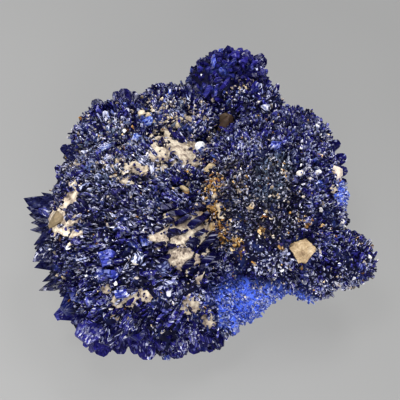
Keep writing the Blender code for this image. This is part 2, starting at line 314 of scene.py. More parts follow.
def cutAway(bm, place, facing):
    # takes off all that lies beyond a plane and closes the cut
    cut = bmesh.ops.bisect_plane(
        bm, geom=bm.verts[:] + bm.edges[:] + bm.faces[:], dist=1e-4,
        plane_co=place, plane_no=facing, clear_outer=True)
    rim = [item for item in cut["geom_cut"] if isinstance(item, bmesh.types.BMEdge)]
    if len(rim) > 2:
        bmesh.ops.edgeloop_fill(bm, edges=rim)


def surfaceOf(obj):
    # for finding the nearest place on an object, in millimetres
    return bvhtree.BVHTree.FromPolygons(
        [obj.matrix_world @ vert.co / mm for vert in obj.data.vertices],
        [tuple(face.vertices) for face in obj.data.polygons])


# The dark rind under the crystals, in the darkest azurite tones: partly its own colour and partly painted
# shade in the gaps between the crystals

rind = {
    "voxel": 0.24,
    "claySwell": 0.50,  # how far clay stands up between the crystals
    "lump": 0.22,
    "lumpGrain": 0.7,
    "fine": (0.6, 0.4),  # height and grain of the finer lumps, as shares of the others
    "clayCalm": 0.6,  # how much smoother it is under clay
    "limoniteEdge": (0.2, 0.7),
    "dentEdge": (0.0, 0.7),
    "breakDepth": 0.35,  # relief of the flat break underneath
    "breakGrain": 1.6,
    "breakKeep": 0.4,  # how much of the lumps shows in the break
}


def makeRind():
    bm = bmesh.new()
    for name in lobes:
        made = bmesh.ops.create_icosphere(bm, subdivisions=5, radius=1.0)
        for vert in made["verts"]:
            vert.co = rindPoint(name, vert.co.normalized()) * mm
    mesh = remeshed(bm, "rindShell", rind["voxel"] * mm)
    points = vertexArray(mesh) / mm
    normals = vertexArray(mesh, "normal")
    clay = clayAt(points)
    limonite = smoothStep(*rind["limoniteEdge"], raggedAt("limonite", points, *raggedEdges["limonite"][1:]))
    fine, fineGrain = rind["fine"]
    relief = rind["lump"] * noiseAt(points, rind["lumpGrain"])
    relief += fine * rind["lump"] * noiseAt(points, rind["lumpGrain"] * fineGrain, 3.0)
    relief = relief * (1.0 - rind["clayCalm"] * clay) + rind["claySwell"] * clay
    for place, reach, depth in tucks + hollows:
        relief -= depth * smoothStep(*rind["dentEdge"], 1.0 - distance(points, place) / reach)
    points += normals * relief[:, None]
    under = points[:, 2] < rind["breakDepth"]
    broken = rind["breakDepth"] * np.clip(0.5 + noiseAt(points, rind["breakGrain"], 11.0), 0.0, 1.0)
    kept = rind["breakKeep"]
    points[under, 2] = np.maximum(points[under, 2], 0.0) * kept + broken[under] * (1.0 - kept)
    points[:, 2] = np.maximum(points[:, 2], 0.0)
    placeVertices(mesh, points)
    for name, values in (("clay", clay), ("limonite", limonite), ("azure", raggedShare("azure", points))):
        addAttribute(mesh, name, values)
    mesh.shade_smooth()
    mesh.update()
    return mesh


rindMesh = makeRind()
rindTree = surfaceOf(addPiece("azurite_rind", rindMesh, ["azurite_cluster"]))
formTree = surfaceOf(bpy.data.objects["azurite_cluster"])
print("rind", len(rindMesh.vertices))


def standOut(points):
    # how far each point lies outside the solid form; negative inside it
    far = np.empty(len(points))
    for k, point in enumerate(points):
        point = Vector(point)
        near, normal, _, gap = formTree.find_nearest(point)
        far[k] = math.copysign(gap, (point - near).dot(normal))
    return far


# Clay, host rock and pale rock lodged in the azurite: where, their radii, turn and how far they are sunk
lodged = {
    "host_rock_grain": dict(lobe="rightDome", place=(300, 26), radii=(1.55, 1.3, 1.3), turn=10, sunk=0.3),
    "pale_rock_grain": dict(lobe="rightDome", place=(13, 24), radii=(1.0, 1.3, 1.0), turn=0, sunk=0.3),
    "clay_seam": dict(lobe="leftRosette", place=(307, 50), radii=(3.6, 2.4, 0.9), turn=30, sunk=0.45),
    "clay_upper": dict(lobe="leftRosette", place=(48, 59), radii=(3.4, 2.7, 0.9), turn=-20, sunk=0.45),
    "clay_left": dict(lobe="leftRosette", place=(194, 34), radii=(1.5, 2.2, 0.8), turn=0, sunk=0.4),
}


def lodgedFrame(plan):
    direction = heading(*plan["place"])
    normal = rindNormal(plan["lobe"], direction)
    centre = rindPoint(plan["lobe"], direction) - normal * plan["sunk"]
    side = normal.cross(Vector((1.0, 0.0, 0.0))).normalized()
    axes = Matrix((side.cross(normal), side, normal)).transposed().to_4x4()
    return Matrix.Translation(centre) @ axes @ Matrix.Rotation(math.radians(plan["turn"]), 4, "Z")


# Clay that no large crystal leans across: middle and radius
openClay = [
    ((-17.2, -5.6, 13.8), 1.9), ((-15.7, -9.3, 14.0), 0.9), ((-1.6, -9.4, 16.2), 3.3),
    ((-3.2, 3.8, 16.6), 2.0), ((-8.5, -0.6, 17.5), 1.2), ((-8.9, -2.4, 17.5), 0.8),
    ((-1.2, -16.4, 10.4), 1.1), ((1.0, -17.4, 8.6), 0.9), ((-9.2, -16.9, 12.6), 1.4),
]
# Places that the small crystals leave free for a plate, a stone or a hollow: middle and radius
clearings = [
    ((-19.2, 1.8, 11.0), 1.5), ((-20.4, -6.1, 9.4), 1.5), ((-20.4, -10.4, 7.4), 1.6),
    ((-18.9, -10.2, 7.8), 1.9), ((11.9, -11.7, 15.8), 0.9), ((-18.7, 1.4, 11.2), 1.4),
    ((-18.5, -5.0, 13.0), 1.25), ((0.4, 5.5, 13.9), 1.0), ((1.4, 0.2, 17.1), 0.8), ((-1.8, -3.3, 16.7), 0.7),
]
for name, reach in (("host_rock_grain", 1.5), ("pale_rock_grain", 1.1)):
    clearings.append((list(lodgedFrame(lodged[name]).translation), reach))
hollowShare = 0.75  # how much of a hollow stays free
for place, reach, _ in hollows:
    clearings.append((place, hollowShare * reach))


# Crystal shapes: unit blocks cut down by planes. X is the width, Y the thickness, Z the length from 0 to 1.
# Each habit has its looseness, how many shapes are made of it, and its planes: direction and distance.

habits = {
    "lens": (0.1, 6, [
        ((0.42, 1.0, 0.0), 0.4), ((-0.42, 1.0, 0.0), 0.4), ((0.42, -1.0, 0.0), 0.4),
        ((-0.42, -1.0, 0.0), 0.4), ((1.0, 0.0, 0.72), 0.96), ((-1.0, 0.0, 0.8), 0.98),
        ((0.0, 1.0, 0.62), 0.86), ((0.0, -1.0, 0.5), 0.8),
    ]),
    "spear": (0.08, 5, [
        ((0.5, 1.0, 0.0), 0.42), ((-0.5, 1.0, 0.0), 0.42), ((0.5, -1.0, 0.0), 0.42),
        ((-0.5, -1.0, 0.0), 0.42), ((1.0, 0.0, 0.95), 1.1), ((-1.0, 0.0, 1.1), 1.18),
        ((1.0, 0.3, -0.4), 0.38), ((-1.0, 0.3, -0.4), 0.38), ((0.0, 1.0, 0.62), 0.8),
    ]),
    "fan": (0.06, 6, [
        ((1.0, 0.0, 0.9), 0.93), ((-1.0, 0.0, 1.1), 1.12), ((1.0, 0.2, -0.4), 0.38),
        ((-1.0, 0.2, -0.4), 0.38), ((0.3, 1.0, 0.45), 0.58), ((-0.35, 1.0, 0.45), 0.6),
        ((0.3, -1.0, 0.45), 0.58), ((-0.3, -1.0, 0.45), 0.6),
    ]),
    "paddle": (0.07, 6, [
        ((1.0, 0.0, 0.6), 0.88), ((-1.0, 0.0, 0.5), 0.82), ((0.5, 0.0, 1.0), 1.05),
        ((-0.7, 0.0, 1.0), 1.12), ((1.0, 0.2, -0.3), 0.4), ((-1.0, 0.2, -0.3), 0.4),
        ((0.3, 1.0, 0.45), 0.62), ((-0.35, 1.0, 0.45), 0.64), ((0.3, -1.0, 0.45), 0.58),
        ((-0.3, -1.0, 0.45), 0.6),
    ]),
    "tablet": (0.12, 6, [
        ((1.0, 0.9, 0.1), 0.72), ((-1.0, 0.9, 0.1), 0.72), ((1.0, -0.9, 0.0), 0.72),
        ((-1.0, -0.9, 0.0), 0.72), ((0.7, 0.1, 1.0), 1.12), ((-0.9, 0.0, 1.0), 1.16),
        ((0.0, 1.0, 1.0), 1.18), ((0.0, -1.0, 1.3), 1.4),
    ]),
    "grain": (0.16, 8, [
        ((1.0, 1.0, 0.2), 0.66), ((-1.0, 1.0, 0.1), 0.64), ((1.0, -1.0, 0.0), 0.66),
        ((-1.0, -1.0, 0.2), 0.64), ((1.0, 0.0, 1.0), 1.16), ((-0.8, 0.6, 1.0), 1.14),
        ((0.1, -1.0, 1.0), 1.12),
    ]),
    "chip": (0.3, 10, [
        ((1.0, 0.1, 0.9), 0.86), ((-1.0, 0.0, 0.5), 0.6), ((0.3, 1.0, 0.2), 0.42),
        ((-0.9, 0.2, -0.8), 0.05), ((0.9, -0.4, -0.6), 0.12),
    ]),
}


def cutBlock(cuts, looseness, rng):
    bm = bmesh.new()
    bmesh.ops.create_cube(bm, size=1.0)
    bmesh.ops.translate(bm, vec=(0.0, 0.0, 0.5), verts=bm.verts)
    for normal, reach in cuts:
        normal = Vector(normal) + Vector(rng.uniform(-looseness, looseness, 3))
        reach = reach * rng.uniform(1.0 - looseness * 0.5, 1.0 + looseness * 0.5)
        flat = normal.normalized()
        cutAway(bm, flat * reach / normal.length, flat)
    bmesh.ops.dissolve_degenerate(bm, dist=0.012, edges=bm.edges)
    bmesh.ops.recalc_face_normals(bm, faces=bm.faces)
    shape = {
        "points": np.array([vert.co for vert in bm.verts]),
        "corners": np.array([vert.index for face in bm.faces for vert in face.verts]),
        "sides": np.array([len(face.verts) for face in bm.faces]),
    }
    bm.free()
    return shape


shapeRng = np.random.default_rng(5)
shapes = {}
for habit, (looseness, variety, planes) in habits.items():
    shapes[habit] = [cutBlock(planes, looseness, shapeRng) for _ in range(variety)]
    print("habit", habit, [int((shape["sides"] - 2).sum()) for shape in shapes[habit]])


# What grows on each lobe: the length, width and thickness, the gap between roots, how far the crystals fan
# out from the growth centre, the share of the length sunk in the rind, how unevenly they turn, their shine
covers = {
    "leftRosette": ((2.8, 1.25, 0.46), 0.62, 2.0, 0.58, 0.5, 1.0),
    "rightDome": ((1.6, 0.66, 0.44), 0.46, 0.1, 0.48, 9.0, 0.95),
    "rightShoulder": ((1.8, 0.88, 0.54), 0.56, 0.1, 0.58, 9.0, 1.0),
    "middle": ((1.8, 0.82, 0.42), 0.52, 0.5, 0.60, 0.8, 1.1),
    "frontLeft": ((2.8, 1.25, 0.52), 0.68, 1.2, 0.58, 0.5, 1.1),
    "front": ((2.6, 1.15, 0.50), 0.64, 1.2, 0.58, 0.5, 1.1),
    "frontRight": ((2.0, 0.90, 0.44), 0.54, 0.9, 0.64, 0.5, 1.1),
    "frontSkirt": ((0.9, 0.42, 0.32), 0.31, 0.0, 0.62, 9.0, 0.9),
    "backLeft": ((1.9, 0.80, 0.46), 0.50, 0.7, 0.60, 0.9, 1.0),
    "back": ((1.7, 0.80, 0.46), 0.50, 0.5, 0.64, 0.9, 1.0),
    "backNeck": ((1.8, 0.85, 0.50), 0.54, 0.2, 0.60, 9.0, 0.5),
    "backKnob": ((2.2, 1.20, 0.80), 0.72, 0.0, 0.62, 9.0, 0.14),
    "sideBridge": ((1.2, 0.62, 0.42), 0.42, 0.0, 0.62, 9.0, 1.35),
    "sideNodule": ((1.3, 0.68, 0.44), 0.44, 0.0, 0.62, 9.0, 1.35),
}
coverArrays = {
    key: np.array([covers[name][column] for name in lobeNames])
    for column, key in enumerate(("size", "gap", "fan", "sunk", "turn", "shine"))
}
# Blades that stand in the clay, all slanting one way: wander and turn are how unevenly they stand, and
# the ones further back than the line are smaller
clayBlades = dict(
    size=(2.0, 1.15, 0.46), gap=0.90, sunk=0.64, slant=(0.82, 0.57, 0.0), wander=0.35, turn=0.15,
    line=-1.0, smaller=0.6, tone=0.35)
# How size and distance change over the specimen
sizing = {
    "inner": 0.72, "outward": 0.32, "rays": (4.0, 17.0),  # larger from the middle of the rosette outwards
    "change": {"rim": 1.1, "granular": -0.30, "dome": -0.50},
    "azure": 0.75,  # the most in earthy azurite
    "domeGap": 0.18,
}


def isOn(owner, *names):
    return np.isin(owner, [lobeNames.index(name) for name in names])


def lobeOf(points):
    share = np.linalg.norm((points[:, None] - lobeCentres) / lobeRadii, axis=2)
    return np.argmin(share, axis=1)


def sizeFactor(points):
    # big blades on the left and front rim, small crystals in the fine dome and the granular back left
    share = {kind: softShare(kind, points) for kind in ("rim", "granular", "dome", "azure")}
    away = np.linalg.norm(points[:, :2] - growthCentre[:2], axis=1)
    rays = sizing["inner"] + sizing["outward"] * smoothStep(*sizing["rays"], away)
    factor = np.where(isOn(lobeOf(points), "leftRosette", "middle"), rays, 1.0)
    factor = scaledBy(sizing["change"], share, factor)
    return np.where(share["azure"] > 0.5, np.minimum(factor, sizing["azure"]), factor)


def gapAt(points):
    clay = clayAt(points)
    dome = softShare("dome", points)
    gap = coverArrays["gap"][lobeOf(points)] * sizeFactor(points) * (1.0 + sizing["domeGap"] * dome)
    return gap * (1.0 - clay) + clayBlades["gap"] * clay


def thinned(places, gaps):
    # the numbers of the places that stay, each with no other within its gap
    tree = kdtree.KDTree(len(places))
    for k, place in enumerate(places):
        tree.insert(place, k)
    tree.balance()
    free = np.ones(len(places), bool)
    kept = []
    for k, place in enumerate(places):
        if free[k]:
            kept.append(k)
            for _, other, _ in tree.find_range(place, gaps[k]):
                free[other] = False
    return kept


def scatter():
    # candidates spread by how close the crystals stand, then thinned to one in each gap
    candidates = cover["candidates"]
    rng = np.random.default_rng(cover["seed"])
    points = vertexArray(rindMesh) / mm
    normals = vertexArray(rindMesh, "normal")
    rindMesh.calc_loop_triangles()
    corners = np.empty(len(rindMesh.loop_triangles) * 3, np.int32)
    rindMesh.loop_triangles.foreach_get("vertices", corners)
    corners = corners.reshape(-1, 3)
    a, b, c = (points[corners[:, k]] for k in range(3))
    area = 0.5 * np.linalg.norm(np.cross(b - a, c - a), axis=1)
    weight = area / gapAt((a + b + c) / 3.0) ** 2
    chosen = rng.choice(len(area), candidates, p=weight / weight.sum())
    share = rng.dirichlet((1.0, 1.0, 1.0), candidates)
    places = np.einsum("nk,nkx->nx", share, points[corners[chosen]])
    facing = unit(np.einsum("nk,nkx->nx", share, normals[corners[chosen]]))
    kept = thinned(places, gapAt(places) * rng.uniform(*cover["gapSpread"], candidates))
    return places[kept], facing[kept], rng


def axesFrom(axis, along):
    # rotation matrices with Z on the axis and X as near to along as it can be
    side = np.cross(axis, along)
    side /= np.linalg.norm(side, axis=1)[:, None] + 1e-9
    return np.stack((np.cross(side, axis), side, axis), axis=2)


def turned(axes, angle):
    cosine, sine = np.cos(angle)[:, None], np.sin(angle)[:, None]
    x = axes[:, :, 0] * cosine + axes[:, :, 1] * sine
    y = axes[:, :, 1] * cosine - axes[:, :, 0] * sine
    return np.stack((x, y, axes[:, :, 2]), axis=2)


finishKeys = ("tone", "azure", "dull", "slate", "paintedShine", "sparkle", "coat", "rust")


def stamp(name, crystals):
    # one joined mesh of all these crystals: root, axes, size, shape and colours
    points, corners, sides, wraps, tints = [], [], [], [], []
    tones = {key: [] for key in finishKeys}
    start = 0
    order = sorted(set(crystals["shape"]))
    for habit, number in order:
        shape = shapes[habit][number]
        mine = [k for k, what in enumerate(crystals["shape"]) if what == (habit, number)]
        scaled = shape["points"][None] * crystals["size"][mine][:, None, [1, 2, 0]]
        placed = np.einsum("nij,nvj->nvi", crystals["axes"][mine], scaled) + crystals["root"][mine][:, None]
        count, each = placed.shape[:2]
        points.append(placed.reshape(-1, 3))
        offsets = start + each * np.arange(count)
        corners.append((shape["corners"][None] + offsets[:, None]).ravel())
        sides.append(np.tile(shape["sides"], count))
        local = scaled[:, shape["corners"]]
        wrap = np.stack((local[:, :, 0] + local[:, :, 1], local[:, :, 2]), axis=2)
        wrap += crystals["wrap"][mine][:, None]
        wraps.append(wrap.reshape(-1, 2))
        for key in tones:
            value = crystals.get(key, np.zeros(len(crystals["shape"])))
            tones[key].append(np.repeat(value[mine], each))
        if "tint" in crystals:
            tints.append(np.repeat(crystals["tint"][mine], each, axis=0))
        start += each * count
    points, corners, sides = np.concatenate(points), np.concatenate(corners), np.concatenate(sides)
    mesh = bpy.data.meshes.new(name)
    mesh.vertices.add(len(points))
    placeVertices(mesh, points)
    mesh.loops.add(len(corners))
    mesh.loops.foreach_set("vertex_index", corners.astype(np.int32))
    mesh.polygons.add(len(sides))
    mesh.polygons.foreach_set("loop_start", np.concatenate(([0], np.cumsum(sides)[:-1])).astype(np.int32))
    layer = mesh.uv_layers.new(name="grain")
    layer.data.foreach_set("uv", np.concatenate(wraps).astype(np.float32).ravel())
    if tints:
        tints = np.concatenate(tints)
        layer = mesh.color_attributes.new("tint", "FLOAT_COLOR", "POINT")
        solid = np.hstack((tints, np.ones((len(tints), 1))))
        layer.data.foreach_set("color", solid.astype(np.float32).ravel())
    else:
        for key in tones:
            addAttribute(mesh, key, np.concatenate(tones[key]))
    mesh.shade_flat()
    mesh.update()
    mesh.validate()
    print(name, len(crystals["shape"]), "crystals", int((sides - 2).sum()), "triangles")
    return addPiece(name, mesh)


def pickShapes(rng, habitNames, chances):
    # chances is one row a crystal, with a column a habit
    roll = rng.random(len(chances))[:, None]
    kind = (np.cumsum(chances, axis=1) / chances.sum(axis=1)[:, None] < roll).sum(axis=1)
    return [(habitNames[k], int(rng.integers(len(shapes[habitNames[k]])))) for k in kind]


# Patches where the crystals are lighter or darker: height, grain and shift of the two noises
growthPatches = ((1.6, 3.4, 5.0), (0.8, 1.5, 9.0))


def growthAt(points):
    value = 0.0
    for height, grain, shift in growthPatches:
        value = value + height * noiseAt(points, grain, shift)
    return np.clip(value, -1.0, 1.0)


# The crystals that cover the rind. "all" is the value everywhere and the others what each ground adds.
cover = {
    "candidates": 260000, "seed": 3, "gapSpread": (0.8, 1.25),
    "inClay": 0.35,  # the clay share from which a blade stands in clay
    "lean": {"granular": -0.7, "clay": -0.8},
    "wander": {"all": 0.20, "dome": 0.15, "granular": 0.12},
    "rimTurn": -0.4,
    "spread": (0.30, -0.6, 0.55),  # of the sizes: its width and its least and most
    "sideSpread": 0.15,
    "length": {"granular": -0.25}, "width": {"rim": 0.25}, "thickness": {"granular": 0.5},
    "rimSunk": 0.04,
    # how far a tip may stand out of the solid form: on top, on the front rim and on the left side
    "slack": {"all": 0.10, "top": 0.42, "frontRim": 0.40, "leftSide": -0.4},
    "shoulder": (0.7, 0.4),  # the place that is tested beside the tip: shares of the length and width
    # how a crystal that stands out further is sunk and shortened, and how much is let pass in the end
    "fit": dict(rounds=3, sink=0.6, most=0.8, shrink=0.4, least=0.85, limit=0.45),
    "lowest": dict(tip=0.5, place=0.6, root=0.1), "foremost": -21.2,
    "gaps": 0.25,  # the share that is missing in limonite
    "overClay": dict(at=0.2, nearness=0.30, kept=0.35), "openClay": dict(at=1.2, kept=0.75),
    "habits": {
        "lens": {"all": 0.70, "granular": -0.5, "dome": -0.6},
        "spear": {"all": 0.12, "granular": -0.1, "dome": -0.1, "rim": 0.3},
        "tablet": {"all": 0.18, "granular": 0.2},
        "grain": {"all": 0.08, "granular": 0.4, "dome": 0.8},
    },
    # the habits where the crystals stand every way, in clay and on the rim
    "looseHabits": (0.2, 0.1, 2.0, 2.2), "clayHabits": (0.9, 0.1, 0.0, 0.0),
    "rimHabits": (0.25, 0.75, 0.0, 0.0),
    "whole": {"all": 0.02, "rim": 0.02, "granular": 0.12},  # crystals with painted shine as a whole
    "wholeShine": (0.3, 0.8), "litShine": 0.45, "longestShining": 3.4,
    # lit and shaded add painted light and painted shade to the tone, and shaded also takes painted glints
    # away from the sparkle
    "tone": {
        "all": 0.0, "growth": 0.34, "lightLobe": 0.20, "behind": -0.16, "knob": 0.15, "front": 0.08,
        "rightEdge": 0.10, "lit": 0.40, "shaded": -0.30},
    "sparkle": {"rim": -0.75, "inClay": -0.5, "growth": 0.5, "behind": -0.3, "shaded": -0.5},
    # glint: painted glints added in the glint and lit spots
    "glint": 0.35, "greyDull": 0.40, "clayCoat": 0.3,
}
# The lighter lobes, and the lobes of each joined piece
lightLobes = ("frontLeft", "front", "frontRight", "backKnob", "sideBridge", "sideNodule")
regions = {
    "left": ("leftRosette", "frontLeft", "front", "frontRight"),
    "dome": ("rightDome",),
    "middle": ("rightShoulder", "middle", "frontSkirt", "sideBridge", "sideNodule"),
    "back": ("backLeft", "back", "backNeck", "backKnob"),
}
# How much each finish differs from crystal to crystal, and the share of crystals that get some more, how much
swings = {"azure": (0.7, 1.2), "dull": (0.65, 1.2), "sparkle": (0.7, 1.1), "rust": (0.45, 1.3)}
strays = {
    "azure": (0.03, 0.35), "dull": (0.3, 0.6), "slate": (0.22, 0.8), "rust": (0.2, 0.35),
    "clay": (0.4, 0.36), "dust": (0.32, 0.36),
}


def placeFields(places, owner):
    # the grounds and sides of the specimen, each as a share from 0 to 1
    x, y, z = places.T
    share = {kind: softShare(kind, places) for kind in softEdges if kind != "azure"}
    share.update({kind: raggedShare(kind, places) for kind in raggedEdges})
    share["clay"] = clayAt(places)
    share["inClay"] = share["clay"] > cover["inClay"]
    share["growth"] = growthAt(places)
    share["front"] = y < -13.0
    share["frontRim"] = share["rim"] * share["front"]
    share["knob"] = y > 15.5
    share["behind"] = smoothStep(4.0, 9.0, y) * (x < 2.0)
    share["rightEdge"] = x > 13.0
    share["leftSide"] = (x < -15.0) & (z > 6.5)
    share["lightLobe"] = isOn(owner, *lightLobes)
    return share


def fitCrystals(places, axes, size, sunk, slack):
    # sinks and shortens the crystals until none stands out too far, and says which still do
    fit = cover["fit"]
    axis = axes[:, :, 2]
    high, wide = cover["shoulder"]
    sink = size[:, 0] * sunk
    root = places - axis * sink[:, None]
    tip = places + axis * (size[:, 0] * (1.0 - sunk))[:, None]
    for _ in range(fit["rounds"]):
        shoulder = root + axis * (size[:, :1] * high)
        side = axes[:, :, 0] * (size[:, 1:2] * wide)
        past = np.max([standOut(point) for point in (tip, shoulder + side, shoulder - side)], axis=0) - slack
        sink += fit["sink"] * np.clip(past, 0.0, fit["most"])
        size *= np.clip(1.0 - fit["shrink"] * past / size[:, 0], fit["least"], 1.0)[:, None]
        root = places - axis * sink[:, None]
        tip = root + axis * size[:, :1]
    return root, tip, past < fit["limit"]


def keptCrystals(places, root, tip, axes, size, sunk, share, rng):
    # leaves out crystals at the base, over open clay and in the clearings
    count = len(places)
    lowest, overClay, openings = cover["lowest"], cover["overClay"], cover["openClay"]
    axis, inClay = axes[:, :, 2], share["inClay"]
    keep = (tip[:, 2] > lowest["tip"]) & (places[:, 2] > lowest["place"])
    keep &= (root[:, 2] > lowest["root"] + size[:, 1] / 2) & (tip[:, 1] > cover["foremost"])
    keep &= rng.random(count) > cover["gaps"] * share["limonite"]
    for place, reach in clearings:
        keep &= outside(places, place, reach)
    above = nearness(places + axis * (size[:, 0] * overClay["at"])[:, None], ground["clay"])
    keep &= inClay | (above <= overClay["nearness"]) | (rng.random(count) < overClay["kept"])
    middle = places + axis * (size[:, 0] * (0.5 - sunk) * openings["at"])[:, None]
    for place, reach in openClay:
        clear = outside(tip, place, reach) & outside(middle, place, reach)
        keep &= clear | (inClay & (rng.random(count) < openings["kept"]))
    return keep


stems = []  # root, axes and size of all the small crystals, for the chips that lie on them


def growCrystals():
    places, facing, rng = scatter()
    owner = lobeOf(places)
    count = len(places)
    share = placeFields(places, owner)
    inClay, rim, granular, dome = (share[kind] for kind in ("inClay", "rim", "granular", "dome"))
    away = unit(places - growthCentre)
    lean = scaledBy(cover["lean"], share, coverArrays["fan"][owner])
    axis = unit(facing + away * lean[:, None])
    axis = unit(axis + rng.normal(0.0, 1.0, (count, 3)) * varied(cover["wander"], share)[:, None])
    # the broad side follows the rays, lies flat at the rim, and runs one way in the clay
    level = np.cross(np.array((0.0, 0.0, 1.0)), away)
    along = away * (1.0 - rim)[:, None] + level * rim[:, None]
    along[inClay] = np.array(clayBlades["slant"]) + rng.normal(
        0.0, clayBlades["wander"], (int(inClay.sum()), 3))
    turn = rng.normal(0.0, 1.0, count) * np.where(
        inClay, clayBlades["turn"], coverArrays["turn"][owner] * (1.0 + cover["rimTurn"] * rim))
    axes = turned(axesFrom(axis, along), turn)
    width, least, most = cover["spread"]
    spread = np.exp(np.clip(rng.normal(0.0, width, count), least, most))
    size = coverArrays["size"][owner] * (sizeFactor(places) * spread)[:, None]
    upper = np.where(places[:, 1] > clayBlades["line"], clayBlades["smaller"], 1.0)
    size[inClay] = np.array(clayBlades["size"]) * (spread * upper)[inClay, None]
    size[:, 1:] *= np.exp(rng.normal(0.0, cover["sideSpread"], (count, 2)))
    for side, key in enumerate(("length", "width", "thickness")):
        size[:, side] = scaledBy(cover[key], share, size[:, side])
    sunk = np.where(inClay, clayBlades["sunk"], coverArrays["sunk"][owner] + cover["rimSunk"] * rim)
    share["top"] = smoothStep(0.5, 0.9, facing[:, 2])
    share["leftSide"] = share["leftSide"] & (facing[:, 2] < 0.5)
    root, tip, fits = fitCrystals(places, axes, size, sunk, varied(cover["slack"], share))
    keep = fits & keptCrystals(places, root, tip, axes, size, sunk, share, rng)
    chances = np.stack([varied(plan, share) for plan in cover["habits"].values()], axis=1).clip(0.02)
    chances[coverArrays["turn"][owner] > 2.0] *= cover["looseHabits"]
    chances[inClay] = cover["clayHabits"]
    chances[rim > 0.5] = cover["rimHabits"]
    # painted shine on whole crystals, less in the painted shade and more in the painted light
    whole = (rng.random(count) < varied(cover["whole"], share)) * rng.uniform(*cover["wholeShine"], count)
    paintedShine = whole * (1.0 - share["shaded"]) + cover["litShine"] * share["lit"] * (share["growth"] > 0.0)
    shine = coverArrays["shine"][owner]

    def swing(kind):
        return rng.uniform(*swings[kind], count)

    def stray(kind):
        chance, amount = strays[kind]
        return amount * (rng.random(count) < chance)

    crystals = {
        "root": root, "axes": axes, "size": size, "shape": pickShapes(rng, list(cover["habits"]), chances),
        "wrap": rng.uniform(0.0, 50.0, (count, 2)),
        "tone": np.where(inClay, clayBlades["tone"], 1.0) * rng.random(count) + varied(cover["tone"], share),
        "azure": share["azure"] * swing("azure") + stray("azure") * (rim < 0.3),
        "dull": dome * swing("dull") + granular * stray("dull") + cover["greyDull"] * share["grey"],
        "slate": share["slate"] + granular * stray("slate"),
        "paintedShine": paintedShine * (size[:, 0] < cover["longestShining"]),
        "sparkle": scaledBy(cover["sparkle"], share, shine * swing("sparkle"))
        + cover["glint"] * np.maximum(share["glints"], share["lit"]),
        "coat": cover["clayCoat"] * share["clay"] + granular * stray("clay") + share["dusty"] * stray("dust"),
        "rust": share["limonite"] * swing("rust") + dome * stray("rust"),
    }
    for key in ("tone", "azure", "dull", "slate", "coat", "rust"):
        crystals[key] = np.clip(crystals[key], 0.0, 1.0)
    made = []
    for region, names in regions.items():
        mine = np.flatnonzero(isOn(owner, *names) & keep)
        stems.append((root[mine], axes[mine], size[mine]))
        part = {key: value[mine] for key, value in crystals.items() if key != "shape"}
        part["shape"] = [crystals["shape"][k] for k in mine]
        made.append(stamp("azurite_crystals_" + region, part))
    return made


# Tiny crystals that fill the gaps between the larger ones
druse = dict(
    size=(0.85, 0.42, 0.28), gap=0.58, sunk=0.35, seed=12, candidates=70000,
    lowest=2.0, mostClay=0.2, jitter=0.12, wander=0.35, spread=0.25, tone=0.9, growthTone=0.30,
    azure=(0.7, 1.0), dull=(0.65, 1.2), sparkle=(0.8, 1.1))


def growDruse():
    rng = np.random.default_rng(druse["seed"])
    points = vertexArray(rindMesh) / mm
    normals = vertexArray(rindMesh, "normal")
    order = rng.permutation(len(points))[:druse["candidates"]]
    order = order[(points[order, 2] > druse["lowest"]) & (clayAt(points[order]) < druse["mostClay"])]
    places, facing = points[order], normals[order]
    places = places + rng.uniform(-druse["jitter"], druse["jitter"], places.shape)
    kept = thinned(places, np.full(len(places), druse["gap"]))
    places, facing = places[kept], facing[kept]
    for place, reach in clearings:
        clear = outside(places, place, reach)
        places, facing = places[clear], facing[clear]
    count = len(places)
    growth = growthAt(places)
    axis = unit(facing + rng.normal(0.0, druse["wander"], (count, 3)))
    size = np.array(druse["size"]) * np.exp(rng.normal(0.0, druse["spread"], (count, 3)))
    shine = coverArrays["shine"][lobeOf(places)] * (1.0 + cover["sparkle"]["growth"] * growth)
    crystals = {
        "root": places - axis * (size[:, :1] * druse["sunk"]),
        "axes": axesFrom(axis, rng.normal(0.0, 1.0, (count, 3))), "size": size,
        "shape": [("chip", int(k)) for k in rng.integers(0, len(shapes["chip"]), count)],
        "wrap": rng.uniform(0.0, 50.0, (count, 2)),
        "tone": np.clip(rng.random(count) * druse["tone"] + druse["growthTone"] * growth, 0.0, 1.0),
        "azure": raggedShare("azure", places) * rng.uniform(*druse["azure"], count),
        "dull": softShare("dome", places) * rng.uniform(*druse["dull"], count),
        "sparkle": shine * rng.uniform(*druse["sparkle"], count),
        "rust": raggedShare("limonite", places),
    }
    stems.append((crystals["root"], crystals["axes"], size))
    return stamp("azurite_druse", crystals)


# Dark blades that stand through the clay: place, length and width of the lens, and the way it slants
seamBlades = [
    ((-0.6, -7.9), 3.5, 1.3, 36), ((0.0, -9.0), 1.5, 0.8, 30), ((-1.0, -10.6), 2.3, 0.95, 32),
    ((1.4, -9.2), 3.5, 1.35, 52), ((0.8, -11.5), 3.4, 1.35, 38), ((-3.4, -9.8), 2.1, 1.0, 8),
    ((-3.5, -11.4), 1.2, 0.8, 15), ((2.0, -11.0), 2.3, 1.0, 50), ((-5.1, -9.1), 1.6, 0.9, 20),
    ((-2.5, -6.9), 2.8, 1.1, 10), ((-4.3, -6.2), 2.4, 1.1, 5), ((-0.6, -5.7), 2.7, 1.2, 15),
    ((0.8, -6.4), 1.8, 1.0, 40), ((-2.2, -7.9), 2.2, 0.7, 30), ((-5.1, -11.0), 1.8, 0.9, 20),
    ((-4.4, -12.5), 1.6, 0.9, 30), ((-1.4, -13.1), 1.8, 1.0, 40), ((0.2, -13.2), 1.6, 0.9, 45),
    ((2.2, -9.6), 1.6, 0.9, 45), ((-1.9, -9.4), 1.0, 0.45, 25), ((-4.0, -8.2), 1.7, 0.7, 12),
    ((-15.3, -5.4), 3.0, 1.9, -10), ((-8.6, -16.2), 1.5, 0.9, 35),
]
